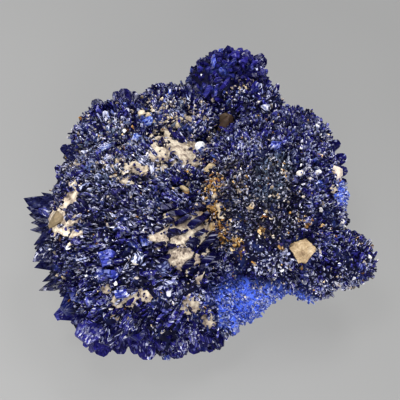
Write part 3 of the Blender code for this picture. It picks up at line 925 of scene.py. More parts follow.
# Broader crystals that lie with a face showing: place, length, width and thickness, slant, and their finish
showing = [
    ((-11.4, -12.4), (2.2, 1.9, 0.8), 20, {"tone": 0.9, "azure": 0.25}),
    ((-11.2, -14.0), (2.8, 1.5, 0.8), 10, {"tone": 0.8, "azure": 0.30}),
    ((-4.6, -13.4), (2.1, 1.7, 0.9), 35, {"tone": 0.8, "slate": 0.55}),
    ((-7.7, -12.6), (1.5, 1.4, 0.9), 80, {"paintedShine": 0.30, "slate": 0.9}),
    ((-9.4, -16.4), (1.9, 1.1, 0.7), 12, {"tone": 0.9, "azure": 0.32}),
    ((-6.4, -0.6), (2.4, 1.1, 0.6), -20, {"paintedShine": 0.5, "slate": 0.7}),
    ((-6.9, 0.2), (2.2, 0.9, 0.6), -25, {"paintedShine": 0.55, "slate": 0.8}),
    ((-14.4, -11.8), (1.7, 1.0, 0.7), -20, {"paintedShine": 0.6, "slate": 0.5}),
    ((-15.2, 0.4), (3.2, 0.5, 0.4), 0, {"paintedShine": 0.6, "slate": 0.4}),
    ((-13.9, -2.4), (2.8, 0.5, 0.5), 38, {"paintedShine": 0.55, "slate": 0.6}),
    ((-12.0, 4.2), (1.8, 1.3, 0.7), 40, {"azure": 0.5, "slate": 0.6}),
    ((-8.2, 5.6), (1.6, 1.2, 0.7), 70, {"azure": 0.6, "slate": 0.5}),
    ((-13.6, 0.6), (1.8, 1.2, 0.7), -40, {"azure": 0.4, "slate": 0.7}),
    ((-6.6, 8.4), (1.7, 1.2, 0.7), 15, {"azure": 0.7, "slate": 0.4}),
    ((8.6, 11.4), (1.5, 1.1, 0.7), 15, {"paintedShine": 0.5, "slate": 0.5}),
    ((9.8, 1.6), (1.6, 1.3, 0.7), 75, {"tone": 1.0, "azure": 0.3}),
]


# How the blades stand, how far their tips are out and how deep they reach; how far out the broader ones lie
singles = dict(
    seed=51, variety=6, upright=(0.0, -0.35, 0.9), tilt=0.82, tipOut=0.85, depth=(1.5, 0.35),
    stretch=(1.12, 1.15), out=0.45)


def onSkin(x, y):
    return rindTree.ray_cast(Vector((x, y, 40.0)), Vector((0.0, 0.0, -1.0)))[:2]


def crystalSet(rows, variety, rng):
    # crystals from rows of root, axis, the way of the broad side, size, habit and turn
    axes = axesFrom(column(rows, 1), column(rows, 2))
    return {
        "root": column(rows, 0), "axes": turned(axes, column(rows, 5)), "size": column(rows, 3),
        "shape": [(row[4], k % variety) for k, row in enumerate(rows)],
        "wrap": rng.uniform(0.0, 50.0, (len(rows), 2)),
    }


def growSingleCrystals():
    rng = np.random.default_rng(singles["seed"])
    rows = []
    finishes = []
    for (x, y), length, wide, slant in seamBlades:
        place, normal = onSkin(x, y)
        slant = math.radians(slant)
        along = (math.cos(slant), math.sin(slant) / singles["tilt"], 0.0)
        axis = (normal * 0.5 + Vector(singles["upright"])).normalized()
        height = singles["depth"][0] + singles["depth"][1] * length
        size = (height, length * singles["stretch"][0], wide * singles["stretch"][1])
        root = place + axis * (singles["tipOut"] - height)
        rows.append((root, axis, along, size, "lens", 0.0))
        finishes.append({"tone": rng.uniform(0.0, 0.15), "sparkle": 0.16})
    for (x, y), size, slant, finish in showing:
        place, normal = onSkin(x, y)
        along = heading(slant, 0)
        along = (along - normal * along.dot(normal)).normalized()
        root = place + normal * singles["out"] - along * size[0] / 2
        rows.append((root, along, along.cross(normal), size, "tablet", 0.0))
        finishes.append({"tone": 0.5, "sparkle": 0.45, **finish})
    crystals = crystalSet(rows, singles["variety"], rng)
    for key in finishKeys:
        crystals[key] = np.array([finish.get(key, 0.0) for finish in finishes])
    return crystals


# The single blade of the knob: heading and pitch, size, how far it stands out and its turn
knobBlade = dict(way=(36, 25), size=(4.6, 1.9, 1.0), out=1.4, turn=25)
# Broad plates of the left, front, back and right edge: tip, a point back along it, width, thickness and roll
rimPlates = [
    ((-22.8, -0.2, 10.8), (-19.0, -2.6, 11.8), 3.2, 1.0, 2),
    ((-22.4, -1.4, 10.5), (-19.0, -2.9, 11.5), 2.8, 0.9, 6),
    ((-22.1, -2.4, 10.3), (-19.0, -3.3, 11.3), 2.9, 0.9, -3),
    ((-21.8, -3.6, 10.1), (-19.0, -4.0, 11.0), 1.7, 0.9, 3),
    ((-21.9, -4.5, 9.8), (-19.0, -5.0, 10.6), 1.5, 0.8, 0),
    ((-21.5, -8.5, 8.5), (-18.4, -6.8, 10.4), 3.8, 1.1, 10),
    ((-21.3, -9.0, 7.8), (-17.8, -8.9, 9.8), 2.6, 0.9, -16),
    ((-20.2, -10.8, 7.2), (-17.6, -10.4, 8.8), 1.6, 0.8, 0),
    ((-20.6, -11.9, 6.8), (-17.8, -11.7, 8.4), 1.6, 0.9, 6),
    ((-17.9, -12.9, 6.9), (-15.7, -12.3, 8.2), 1.9, 0.9, -8),
    ((-16.6, -13.9, 6.6), (-14.7, -13.3, 7.8), 1.8, 0.9, 4),
    ((-15.6, -14.9, 6.4), (-13.9, -14.3, 7.6), 1.8, 0.9, -4),
    ((-15.0, -16.4, 6.1), (-13.6, -15.7, 7.4), 1.9, 0.9, 5),
    ((-14.1, -17.8, 5.9), (-12.8, -16.9, 7.2), 2.2, 1.0, 3),
    ((-12.6, -20.5, 5.0), (-11.7, -18.9, 7.2), 2.8, 1.1, 0),
    ((-10.0, -20.3, 5.0), (-10.0, -18.7, 7.0), 2.3, 1.0, 6),
    ((-8.0, -20.3, 5.0), (-8.2, -18.9, 7.0), 1.8, 0.9, -6),
    ((-6.6, -21.0, 4.8), (-6.7, -19.5, 7.0), 2.8, 1.1, 4),
    ((-4.8, -20.2, 5.0), (-5.1, -18.9, 7.0), 2.0, 0.9, -4),
    ((-2.7, -20.7, 4.6), (-3.1, -19.2, 7.0), 2.8, 1.0, 4),
    ((-0.4, -20.1, 4.8), (-1.0, -18.7, 7.0), 2.2, 1.0, -5),
    ((1.2, -19.2, 5.0), (0.5, -18.0, 7.0), 1.9, 0.9, 5),
    ((-11.1, 14.3, 14.6), (-10.4, 10.9, 14.6), 1.7, 1.0, 0),
    ((-10.0, 14.6, 14.8), (-9.6, 11.0, 15.0), 2.3, 1.1, 8),
    ((-8.8, 14.3, 14.6), (-8.7, 11.0, 15.0), 1.8, 1.0, -6),
    ((-13.8, 13.4, 14.0), (-12.7, 9.8, 14.8), 2.2, 1.1, 0),
    ((-14.8, 11.9, 13.4), (-13.3, 8.8, 14.4), 1.7, 1.0, 8),
    ((-16.2, 9.8, 12.8), (-14.6, 7.3, 13.8), 1.7, 1.0, 0),
    ((-18.1, 7.3, 11.8), (-16.1, 5.1, 12.8), 1.8, 1.0, -8),
    ((18.4, 7.2, 13.0), (16.4, 5.5, 13.6), 1.7, 1.0, 0),
    ((19.2, 5.1, 12.6), (17.2, 3.8, 13.2), 1.9, 1.0, 8),
    ((19.3, 3.2, 12.2), (17.2, 2.5, 12.8), 1.8, 1.0, -6),
    ((19.2, 1.9, 11.4), (17.2, 1.3, 12.0), 1.6, 1.0, 4),
    ((8.9, 22.8, 11.3), (6.6, 20.3, 11.8), 2.6, 1.1, 0),
]
pointed = 12  # how many of the first ones end in a point
# Thin blades grown along each plate: how many, how unevenly they lean, where they lie and their size in it
splinters = dict(
    count=4, lean=(0.04, 0.05), turn=0.25, beside=(0.36, 0.3), length=(0.84, 0.99), width=(0.28, 0.50),
    thickness=(0.6, 1.0))
# Narrow pale blades among them: tip, a point back along the blade, width and thickness
paleBlades = [
    ((-11.1, -19.0, 6.2), (-10.5, -17.2, 7.9), 0.7, 0.45),
    ((-9.6, -19.0, 6.7), (-9.1, -17.2, 8.4), 0.7, 0.45),
    ((-6.6, -19.0, 6.7), (-6.2, -17.0, 8.4), 0.8, 0.45),
    ((-6.1, -19.6, 5.8), (-6.0, -17.9, 7.4), 0.7, 0.45),
    ((-17.8, -10.5, 9.1), (-15.5, -9.8, 10.1), 0.9, 0.6),
]
rimFinish = dict(
    seed=21, variety=5, level=(0.0, -0.35, 0.94),  # the way across the plates
    root=2.2,  # their length in the rind
    back=-13.0, inner=0.82,  # splinters behind this line are shorter
    tone=(0.05, 0.42), left=-12.0, leftTone=0.6, leftSlate=0.08, front=-14.0, frontTone=0.30,
    sparkle=(0.12, 0.32), paleSparkle=0.6, paintedShine=0.40, paleTurn=0.3)


def growRimBlades():
    rng = np.random.default_rng(rimFinish["seed"])
    level = Vector(rimFinish["level"])
    direction, size = heading(*knobBlade["way"]), knobBlade["size"]
    axis = (rindNormal("backKnob", direction) + direction).normalized()
    root = rindPoint("backKnob", direction) - axis * (size[0] - knobBlade["out"])
    across = axis.cross(Vector((0.0, 0.0, 1.0)))
    rows = [(root, axis, across, size, "spear", math.radians(knobBlade["turn"]))]
    for number, (tip, back, width, thick, roll) in enumerate(rimPlates):
        axis = (Vector(tip) - Vector(back)).normalized()
        full = (Vector(tip) - Vector(back)).length + rimFinish["root"]
        across = axis.cross(level).normalized()
        upward = axis.cross(across)
        root, roll = Vector(tip) - axis * full, math.radians(roll)
        habit = "paddle" if number >= pointed else "fan"
        rows.append((root, axis, across, (full, width, thick), habit, roll))
        inner = rimFinish["inner"] if tip[1] > rimFinish["back"] else 1.0
        sideLean, upLean = splinters["lean"]
        aside, above = splinters["beside"]
        for _ in range(splinters["count"]):
            lean = axis + across * rng.normal(0.0, sideLean) + upward * rng.normal(0.0, upLean)
            shift = across * width * rng.uniform(-aside, aside) + upward * thick * rng.uniform(-above, above)
            size = (full * inner * rng.uniform(*splinters["length"]),
                    width * rng.uniform(*splinters["width"]), thick * rng.uniform(*splinters["thickness"]))
            turn = roll + rng.normal(0.0, splinters["turn"])
            rows.append((root + shift, lean.normalized(), across, size, "fan", turn))
    for tip, back, width, thick in paleBlades:
        axis = (Vector(tip) - Vector(back)).normalized()
        size = ((Vector(tip) - Vector(back)).length, width, thick)
        rows.append((Vector(back), axis, axis.cross(level), size, "spear", rimFinish["paleTurn"]))
    count = len(rows)
    crystals = crystalSet(rows, rimFinish["variety"], rng)
    left = crystals["root"][:, 0] < rimFinish["left"]
    front = crystals["root"][:, 1] < rimFinish["front"]
    paintedShine = np.arange(count) >= count - len(paleBlades)
    crystals.update({
        "tone": rng.uniform(*rimFinish["tone"], count) * np.where(left, rimFinish["leftTone"], 1.0)
        + rimFinish["frontTone"] * front,
        "slate": rimFinish["leftSlate"] * left,
        "sparkle": np.where(paintedShine, rimFinish["paleSparkle"], rng.uniform(*rimFinish["sparkle"], count)),
        "paintedShine": rimFinish["paintedShine"] * paintedShine,
    })
    return crystals


# Small chips and grains caught between the crystals: how many, their size, the ground they keep to, how far
# up the crystals they lie and their colours from the darkest to the lightest
grains = [
    dict(count=760, size=(0.20, 0.58), flat=0.5, ground=("clay", "granular"), up=(0.5, 0.95), tints=[
        (0.16, 0.13, 0.12), (0.38, 0.33, 0.28), (0.58, 0.52, 0.45), (0.76, 0.73, 0.72)]),
    dict(count=760, size=(0.18, 0.56), flat=0.55, ground=("dusty",), up=(0.6, 1.0), tints=[
        (0.14, 0.12, 0.10), (0.34, 0.28, 0.22), (0.52, 0.44, 0.34), (0.72, 0.65, 0.60)]),
    dict(count=720, size=(0.14, 0.50), flat=0.6, ground=("limonite",), up=(0.6, 1.0), tints=[
        (0.06, 0.022, 0.008), (0.28, 0.120, 0.030), (0.62, 0.38, 0.12), (0.80, 0.66, 0.44)]),
    dict(count=620, size=(0.12, 0.30), flat=0.6, ground=("dome",), up=(0.5, 1.0), tints=[
        (0.012, 0.010, 0.012), (0.06, 0.048, 0.04), (0.20, 0.155, 0.12), (0.42, 0.37, 0.34)]),
    dict(count=700, size=(0.12, 0.38), flat=0.45, ground=(), up=(0.75, 1.0), tints=[
        (0.08, 0.08, 0.17), (0.30, 0.29, 0.38), (0.50, 0.46, 0.47), (0.78, 0.76, 0.84)]),
    # white flakes in the glint spots: painted highlights
    dict(count=380, size=(0.22, 0.58), flat=0.4, ground=("glints",), up=(0.85, 1.0), tints=[
        (0.30, 0.31, 0.45), (0.66, 0.65, 0.74), (0.84, 0.83, 0.86), (0.88, 0.87, 0.88)]),
]


grainPlan = dict(
    seed=31, edge=(-0.1, 0.8), ragged=(0.45, 1.1), low=(3.0, 9.0), highest=20.7,
    knob=(15.5, 17.0), knobLess=0.8, beside=0.45, spread=0.25)


def growGrains():
    # every grain lies on a crystal, so none of them hangs in the air
    rng = np.random.default_rng(grainPlan["seed"])
    stemRoot, stemAxes, stemSize = (np.concatenate(parts) for parts in zip(*stems))
    stemTip = stemRoot + stemAxes[:, :, 2] * stemSize[:, :1]
    y, z = stemTip[:, 1], stemTip[:, 2]
    bare = smoothStep(*grainPlan["low"], z) * (z < grainPlan["highest"])
    bare *= 1.0 - raggedShare("azure", stemTip)
    offKnob = 1.0 - grainPlan["knobLess"] * smoothStep(*grainPlan["knob"], y)
    parts = []
    for plan in grains:
        wanted = np.full(len(stemTip), 0.0 if plan["ground"] else 1.0)
        for kind in plan["ground"]:
            near = raggedAt(kind, stemTip, *grainPlan["ragged"])
            wanted = np.maximum(wanted, smoothStep(*grainPlan["edge"], near))
        wanted *= bare
        wanted *= offKnob
        on = rng.choice(len(stemTip), plan["count"], replace=False, p=wanted / wanted.sum())
        count = len(on)
        axes, stemWay = stemAxes[on], stemAxes[on][:, :, 2]
        up = rng.uniform(*plan["up"], count)[:, None]
        limit = grainPlan["beside"]
        beside = rng.uniform(-limit, limit, (count, 2)) * stemSize[on, 1:] * (1.2 - up)
        middle = stemRoot[on] + stemWay * stemSize[on, :1] * up
        middle += axes[:, :, 0] * beside[:, :1] + axes[:, :, 1] * beside[:, 1:]
        axis = unit(rng.normal(0.0, 1.0, (count, 3)))
        low, high = plan["size"]
        size = (low + (high - low) * rng.random(count) ** 2.0)[:, None] * np.exp(
            rng.normal(0.0, grainPlan["spread"], (count, 3)))
        size[:, 2] *= plan["flat"]
        tone = rng.random(count)
        steps = np.linspace(0.0, 1.0, len(plan["tints"]))
        parts.append({
            "root": middle - axis * size[:, :1] / 2, "size": size,
            "axes": axesFrom(axis, stemWay + rng.normal(0.0, 0.5, (count, 3))),
            "shape": rng.integers(0, len(shapes["chip"]), count), "wrap": rng.uniform(0.0, 50.0, (count, 2)),
            "tint": np.stack([np.interp(tone, steps, band) for band in np.array(plan["tints"]).T], axis=1),
        })
    crystals = {key: np.concatenate([part[key] for part in parts]) for key in parts[0]}
    crystals["shape"] = [("chip", int(k)) for k in crystals["shape"]]
    return stamp("loose_grains", crystals)


# Larger grains, each in its own place: middle, size, the way it points and its shade from tan to white
singleGrains = [
    ((-18.2, -5.8, 13.9), (1.9, 1.45, 1.2), (0.6, 0.65, 0.45), 0.18),
    ((0.1, 4.7, 14.8), (1.45, 1.05, 0.85), (0.1, 0.8, 0.55), 1.0),
    ((1.4, -0.1, 17.1), (1.15, 1.05, 0.9), (0.8, 0.4, 0.2), 0.32),
    ((-1.8, -3.3, 17.2), (1.2, 0.55, 0.5), (0.8, -0.5, 0.1), 0.25),
    ((18.2, -5.2, 12.4), (0.8, 0.55, 0.45), (0.5, 0.5, 0.5), 0.85),
    ((18.7, -5.4, 11.5), (0.6, 0.5, 0.4), (0.2, 0.8, 0.1), 0.95),
    ((-7.7, -13.0, 15.6), (1.1, 0.95, 0.6), (0.3, 0.9, 0.2), 0.75),
    ((21.6, -10.0, 11.6), (0.55, 0.5, 0.4), (0.0, 0.6, 0.8), 0.9),
    ((12.6, -2.6, 19.7), (0.8, 0.6, 0.5), (0.5, 0.3, 0.4), 0.8),
    ((-7.6, 9.2, 16.7), (0.75, 0.65, 0.5), (0.6, 0.5, 0.2), 0.6),
    ((-6.6, 8.9, 16.7), (0.7, 0.6, 0.5), (0.2, 0.8, 0.2), 0.45),
    ((8.5, -7.7, 18.6), (0.9, 0.5, 0.4), (0.9, -0.4, 0.1), 0.45),
    ((3.5, 8.9, 13.7), (2.7, 1.6, 1.3), (0.1, 0.8, 0.5), 0.0),
    ((3.6, 10.4, 14.1), (1.5, 1.1, 0.8), (0.9, 0.3, 0.2), 0.04),
    ((5.8, 14.3, 15.4), (1.2, 0.8, 0.6), (0.7, 0.3, 0.2), 0.38),
]
singleTints = [(0.065, 0.034, 0.019), (0.44, 0.355, 0.225), (0.62, 0.54, 0.44), (0.72, 0.73, 0.76)]
singleStone = dict(seed=60, planes=8, reach=(0.62, 0.95), roughness=0.05, voxel=0.11, shrink=0.62)


def makeSingleGrains():
    bm = bmesh.new()
    layer = bm.verts.layers.float_color.new("tint")
    steps, bands = np.linspace(0.0, 1.0, len(singleTints)), np.array(singleTints).T
    for k, (middle, size, along, shade) in enumerate(singleGrains):
        seed = singleStone["seed"] + k
        rng = np.random.default_rng(seed)
        cuts = [(tuple(rng.normal(0.0, 1.0, 3)), rng.uniform(*singleStone["reach"]))
                for _ in range(singleStone["planes"])]
        stone = makeStone(cuts, seed, singleStone["roughness"], singleStone["voxel"])
        turn = Vector(along).to_track_quat("X", "Z").to_matrix().to_4x4()
        stone.transform(Matrix.Translation(Vector(middle) * mm) @ turn @ Matrix.Diagonal(
            [side * singleStone["shrink"] * mm for side in size]).to_4x4())
        first = len(bm.verts)
        bm.from_mesh(stone)
        bm.verts.ensure_lookup_table()
        for vert in bm.verts[first:]:
            vert[layer] = [float(np.interp(shade, steps, band)) for band in bands] + [1.0]
    mesh = meshFrom(bm, "single_grains")
    mesh.shade_smooth()
    return addPiece("single_grains", mesh)


# Broken stones: the planes that bound them, as a direction and a distance
stoneCuts = {
    "host_rock_grain": [
        ((-0.32, 0.78, 0.545), 1.25), ((0.10, 0.815, 0.571), 1.32), ((0.65, 0.62, 0.436), 1.14),
        ((0.98, -0.164, -0.115), 1.43), ((0.77, -0.524, -0.367), 1.23), ((0.0, -0.819, -0.574), 1.66),
        ((-0.85, -0.426, -0.298), 1.44), ((-1.0, 0.0, 0.0), 1.84), ((0.35, -0.60, 0.72), 1.15),
        ((0.60, -0.45, 0.66), 1.38), ((0.10, -0.75, 0.65), 1.45), ((-0.50, 0.69, -0.52), 1.3),
    ],
    "pale_rock_grain": [
        ((-0.80, 0.30, 0.40), 0.95), ((0.30, 0.80, 0.50), 0.95), ((0.90, -0.20, 0.20), 0.90),
        ((0.20, -0.85, -0.30), 1.05), ((-0.70, -0.60, -0.10), 0.90), ((0.20, -0.30, 0.92), 0.85),
        ((0.0, 0.0, -1.0), 1.1),
    ],
}


# The ball that a stone is cut from and its lumps, then its pits: height and pace of each size
stoneBall = {"radius": 1.28, "lump": (0.12, 1.3), "pits": ((1.0, 2.0), (0.6, 5.0), (0.3, 13.0))}


def makeStone(cuts, seed, roughness, voxel):
    # a lumpy ball of about the reach of the planes, cut by them, its faces pitted and its edges worn
    bm = bmesh.new()
    radius = stoneBall["radius"] * max(reach for _, reach in cuts)
    bmesh.ops.create_icosphere(bm, subdivisions=3, radius=radius)
    lump, pace = stoneBall["lump"]
    for vert in bm.verts:
        vert.co *= 1.0 + lump * noise.noise(vert.co * pace + Vector((seed, 0, 3)))
    for normal, reach in cuts:
        normal = Vector(normal).normalized()
        cutAway(bm, normal * reach, normal)
    bmesh.ops.triangulate(bm, faces=bm.faces)
    mesh = remeshed(bm, "stoneBlock", voxel)
    for vert in mesh.vertices:
        pit, shift = 0.0, Vector((seed, 0, 0))
        for depth, pace in stoneBall["pits"]:
            pit += depth * noise.noise(vert.co * pace + shift)
            shift = Vector((0, 0, 0))
        vert.co = vert.co * (1.0 + roughness * pit)
    return mesh


def makePebble(name, seed, roughness):
    mesh = makeStone(stoneCuts[name], seed, roughness, 0.05)
    place = lodgedFrame(lodged[name]).translation
    mesh.transform(Matrix.Diagonal((mm, mm, mm, 1.0)) @ Matrix.Translation(place))
    mesh.shade_smooth()
    mesh.update()
    return mesh


# Crusts of clay: how proud and deep they are, their lumps, and how ragged their outline is
crust = {
    "proud": 0.16, "deep": 0.7, "sunk": 0.06, "thinOut": 0.2,
    "lump": 0.07, "lumpGrains": (0.5, 0.2), "ragged": ((0.35, 1.7), (0.20, 4.0)),
}


def makeClay(name, seed):
    # a thin crust of dry clay that follows the skin under it, with a ragged outline
    plan = lodged[name]
    bm = bmesh.new()
    bmesh.ops.create_icosphere(bm, subdivisions=6, radius=1.0)
    placement = lodgedFrame(plan)
    up = (placement.to_3x3() @ Vector((0.0, 0.0, 1.0))).normalized()
    heights = []
    for vert in bm.verts:
        p = vert.co.copy()
        shift = Vector((p.x, p.y, seed))
        ragged = 1.0
        for depth, pace in crust["ragged"]:
            ragged += depth * noise.noise(shift * pace)
        start = placement @ Vector((p.x * plan["radii"][0] * ragged, p.y * plan["radii"][1] * ragged, 5.0))
        vert.co = rindTree.ray_cast(start, -up)[0] or start - up * 5.0
        heights.append(p.z)
    shown = clayAt(np.array([vert.co for vert in bm.verts]))
    broad, small = crust["lumpGrains"]
    for vert, height, clay in zip(bm.verts, heights, shown):
        rise = crust["proud"] * height ** 0.5 * clay if height > 0 else crust["deep"] * height
        lumps = noise.noise(vert.co / broad) + 0.6 * noise.noise(vert.co / small)
        lump = crust["lump"] * lumps * max(height, 0.0)
        vert.co += up * (rise + lump - crust["sunk"] - crust["thinOut"] * (1.0 - clay))
    bmesh.ops.scale(bm, vec=(mm, mm, mm), verts=bm.verts)
    mesh = meshFrom(bm, name)
    mesh.shade_smooth()
    return mesh


singlePiece = makeSingleGrains()
hostPebble = addPiece(
    "host_rock_pebble", makePebble("host_rock_grain", 4, 0.09), ["host_rock_grain"])
palePebble = addPiece(
    "pale_rock_pebble", makePebble("pale_rock_grain", 8, 0.05), ["pale_rock_grain"])
clayPieces = [
    addPiece(name + "_crust", makeClay(name, seed), [name])
    for name, seed in (("clay_seam", 3), ("clay_upper", 6), ("clay_left", 9))
]
print("stones and clay", len(singleGrains) + 2, len(clayPieces))


def joined(*groups):
    # one set of crystals from several, with zeros where a group lacks a finish
    both = {"shape": [shape for group in groups for shape in group["shape"]]}
    for key in ("root", "axes", "size", "wrap") + finishKeys:
        both[key] = np.concatenate([group.get(key, np.zeros(len(group["root"]))) for group in groups])
    return both


crystalPieces = growCrystals() + [growDruse()]
crystalPieces.append(stamp("azurite_blades", joined(growRimBlades(), growSingleCrystals())))
grainPiece = growGrains()


# Materials


class Nodes:
    def __init__(self, name):
        self.material = bpy.data.materials.new(name)
        self.material.use_nodes = True
        self.tree = self.material.node_tree
        self.shader = self.tree.nodes["Principled BSDF"]

    def add(self, kind, inputs=(), **settings):
        node = self.tree.nodes.new("ShaderNode" + kind)
        for key, value in settings.items():
            setattr(node, key, value)
        for key, value in dict(inputs).items():
            self.set(node.inputs[key], value)
        return node

    def set(self, socket, value):
        if isinstance(value, bpy.types.NodeSocket):
            self.tree.links.new(value, socket)
        elif socket.type == "RGBA":
            socket.default_value = (*value[:3], 1.0)
        else:
            socket.default_value = value

    def attribute(self, name):
        return self.add("Attribute", attribute_name=name).outputs["Fac"]

    def mix(self, share, first, second):
        return self.add("Mix", {0: share, 6: first, 7: second}, data_type="RGBA").outputs[2]

    def math(self, operation, *values, clamp=False):
        return self.add("Math", enumerate(values), operation=operation, use_clamp=clamp).outputs[0]

    def times(self, first, second, clamp=False):
        return self.math("MULTIPLY", first, second, clamp=clamp)

    def plus(self, first, second, clamp=False):
        return self.math("ADD", first, second, clamp=clamp)

    def vector(self, operation, first, second):
        return self.add("VectorMath", {0: first, 1: second}, operation=operation).outputs

    def spread(self, value, low, high, newLow=0.0, newHigh=1.0):
        return self.add("MapRange", {
            "Value": value, "From Min": low, "From Max": high, "To Min": newLow, "To Max": newHigh,
        }).outputs["Result"]

    def noise(self, where, scale, detail=2.0, roughness=0.5):
        return self.add("TexNoise", {
            "Vector": where, "Scale": scale, "Detail": detail, "Roughness": roughness}).outputs["Fac"]

    def stretched(self, where, wide, tall):
        # coordinates that count in cells of this width and height
        scale = (1.0 / wide, 1.0 / tall, 1.0)
        return self.add("Mapping", {"Vector": where, "Scale": scale}).outputs["Vector"]

    def ramp(self, value, stops):
        node = self.add("ValToRGB", {"Fac": value})
        band = node.color_ramp
        while len(band.elements) < len(stops):
            band.elements.new(0.5)
        for element, (position, colour) in zip(band.elements, stops):
            element.position = position
            element.color = (*colour, 1.0)
        return node.outputs["Color"]

    def shifted(self, colour, **change):
        return self.add("HueSaturation", {"Color": colour, **change}).outputs["Color"]

    def bump(self, height, strength=1.0, distance=1.0):
        node = self.add("Bump", {"Strength": strength, "Distance": distance, "Height": height})
        return node.outputs["Normal"]

    def objectPoint(self):
        return self.add("TexCoord").outputs["Object"]

    def finish(self, **inputs):
        for key, value in inputs.items():
            self.set(self.shader.inputs[key.replace("_", " ")], value)
        return self.material


azuriteFinish = {
    "tones": [
        (0.15, (0.0010, 0.0008, 0.024)), (0.40, (0.0046, 0.0038, 0.058)), (0.62, (0.015, 0.012, 0.128)),
        (0.82, (0.036, 0.030, 0.220)), (1.0, (0.090, 0.090, 0.380))],
    "azure": (0.110, 0.200, 0.780),
    "azures": [
        (0.0, (0.016, 0.028, 0.260)), (0.30, (0.085, 0.150, 0.640)), (0.65, (0.170, 0.270, 0.840)),
        (0.95, (0.56, 0.64, 0.95))],
    "dullDark": (0.0012, 0.0010, 0.002), "dull": (0.074, 0.064, 0.066), "slate": (0.145, 0.185, 0.27),
    # the pale whitish and the pale blue colour on the next line are the painted glints
    "paintedShine": (0.80, 0.79, 0.88), "paintedShineBlue": (0.22, 0.26, 0.48), "clay": (0.52, 0.44, 0.33),
    "rusts": [
        (0.1, (0.06, 0.026, 0.009)), (0.42, (0.33, 0.17, 0.05)), (0.68, (0.64, 0.43, 0.18)),
        (0.90, (0.78, 0.65, 0.46))],
    "ior": 1.52, "gloss": 0.3,
    "facet": (0.19, 0.40), "tilt": 1.2,  # the tiny facets: how wide and long, and how far they lean
    "glintEdges": (0.40, 0.90),  # the fine painted glints along the edges where facets meet
    "stripe": (0.11, 1.0 / 0.7),  # how far apart the growth lines are, and how long
    "speck": 2600.0, "cloud": 900.0, "patch": 420.0, "breaks": 1500.0,  # how fine the noises are
}


def azuriteMaterial():
    n = Nodes("azurite_crystal")
    look = azuriteFinish
    wide, tall = look["facet"]
    where = n.objectPoint()
    wrap = n.add("UVMap", uv_map="grain").outputs["UV"]
    # tiny facets: each is a cell with its own colour, and leans its own way
    cells = n.stretched(wrap, wide, tall)
    facets = n.add("TexVoronoi", {"Vector": cells, "Scale": 1.0}, voronoi_dimensions="2D").outputs
    cell = n.add("SeparateColor", {"Color": facets["Color"]}).outputs
    lean = n.vector("SUBTRACT", facets["Color"], (0.5, 0.5, 0.5))["Vector"]
    offset = n.vector("SUBTRACT", cells, facets["Position"])["Vector"]
    offset = n.vector("MULTIPLY", offset, (wide * mm, tall * mm, 0.0))["Vector"]
    slope = n.vector("DOT_PRODUCT", lean, offset)["Value"]
    # the blue, from the crystal's tone, its facets and fine specks
    speck = n.noise(where, look["speck"], 3.0, 0.6)
    sparkle = n.attribute("sparkle")
    shade = n.times(n.math("SUBTRACT", cell["Red"], 0.5), n.spread(sparkle, 0.1, 0.7, 0.18, 0.80))
    shade = n.plus(n.math("MULTIPLY_ADD", n.attribute("tone"), 0.50, 0.24), shade)
    shade = n.plus(shade, n.spread(speck, 0.25, 0.75, -0.16, 0.16), clamp=True)
    colour = n.ramp(shade, look["tones"])
    azure = n.times(n.attribute("azure"), n.spread(cell["Red"], 0.0, 0.5, 0.55, 1.0))
    colour = n.mix(azure, colour, n.ramp(cell["Blue"], look["azures"]))
    dull = n.times(n.attribute("dull"), n.spread(n.noise(where, look["cloud"], 3.0), 0.25, 0.5), clamp=True)
    dusk = n.mix(n.spread(shade, 0.45, 0.86), look["dullDark"], look["dull"])
    colour = n.mix(n.times(dull, 0.85), colour, dusk)
    slate = n.times(n.attribute("slate"), n.spread(cell["Red"], 0.1, 0.8), clamp=True)
    colour = n.mix(slate, colour, look["slate"])
    # painted glints: pale colour on some facets, on the fine edges between them, and on whole crystals
    patches = n.spread(n.noise(where, look["patch"], 2.0), 0.35, 0.65, -0.14, 0.14)
    lift = n.plus(patches, n.times(sparkle, 0.18))
    glitter = n.math("POWER", n.spread(n.plus(cell["Green"], lift), 0.89, 1.08), 1.2)
    glitter = n.times(glitter, n.spread(sparkle, 0.05, 0.35))
    glintEdges = n.add("TexVoronoi", {"Vector": n.stretched(wrap, *look["glintEdges"]), "Scale": 1.0},
                 voronoi_dimensions="2D", feature="DISTANCE_TO_EDGE").outputs["Distance"]
    broken = n.spread(n.plus(n.noise(where, look["breaks"], 2.0), lift), 0.74, 0.84)
    line = n.times(n.times(n.spread(glintEdges, 0.12, 0.05), broken), n.spread(sparkle, 0.1, 0.5))
    whole = n.spread(n.plus(n.attribute("paintedShine"), cell["Red"]), 0.95, 1.15)
    shine = n.math("MAXIMUM", n.math("MAXIMUM", glitter, line), whole)
    colour = n.mix(shine, colour, n.mix(cell["Blue"], look["paintedShineBlue"], look["paintedShine"]))
    # films of limonite and clay
    rust = n.spread(n.plus(n.times(n.attribute("rust"), 0.6), speck), 0.90, 0.98)
    rust = n.times(rust, n.spread(cell["Blue"], 0.25, 0.45))
    colour = n.mix(rust, colour, n.ramp(cell["Green"], look["rusts"]))
    coat = n.spread(n.plus(n.attribute("coat"), speck), 0.86, 0.98)
    colour = n.mix(coat, colour, look["clay"])
    # relief of the leaning facets and of the growth lines
    striation = n.noise(n.stretched(wrap, *look["stripe"]), 1.0, 3.0, 0.6)
    height = n.times(slope, n.times(sparkle, look["tilt"]))
    height = n.plus(height, n.times(striation, n.spread(sparkle, 0.1, 1.0, 0.000001, 0.000016)))
    matt = n.math("MAXIMUM", dull, n.math("MAXIMUM", rust, coat))
    rough = n.plus(n.spread(cell["Blue"], 0.0, 1.0, 0.10, 0.28), n.times(matt, 0.35))
    rough = n.plus(rough, n.spread(sparkle, 0.0, 0.4, 0.12, 0.0), clamp=True)
    return n.finish(
        Base_Color=colour, Roughness=rough, Normal=n.bump(height), IOR=look["ior"],
        Specular_IOR_Level=look["gloss"])


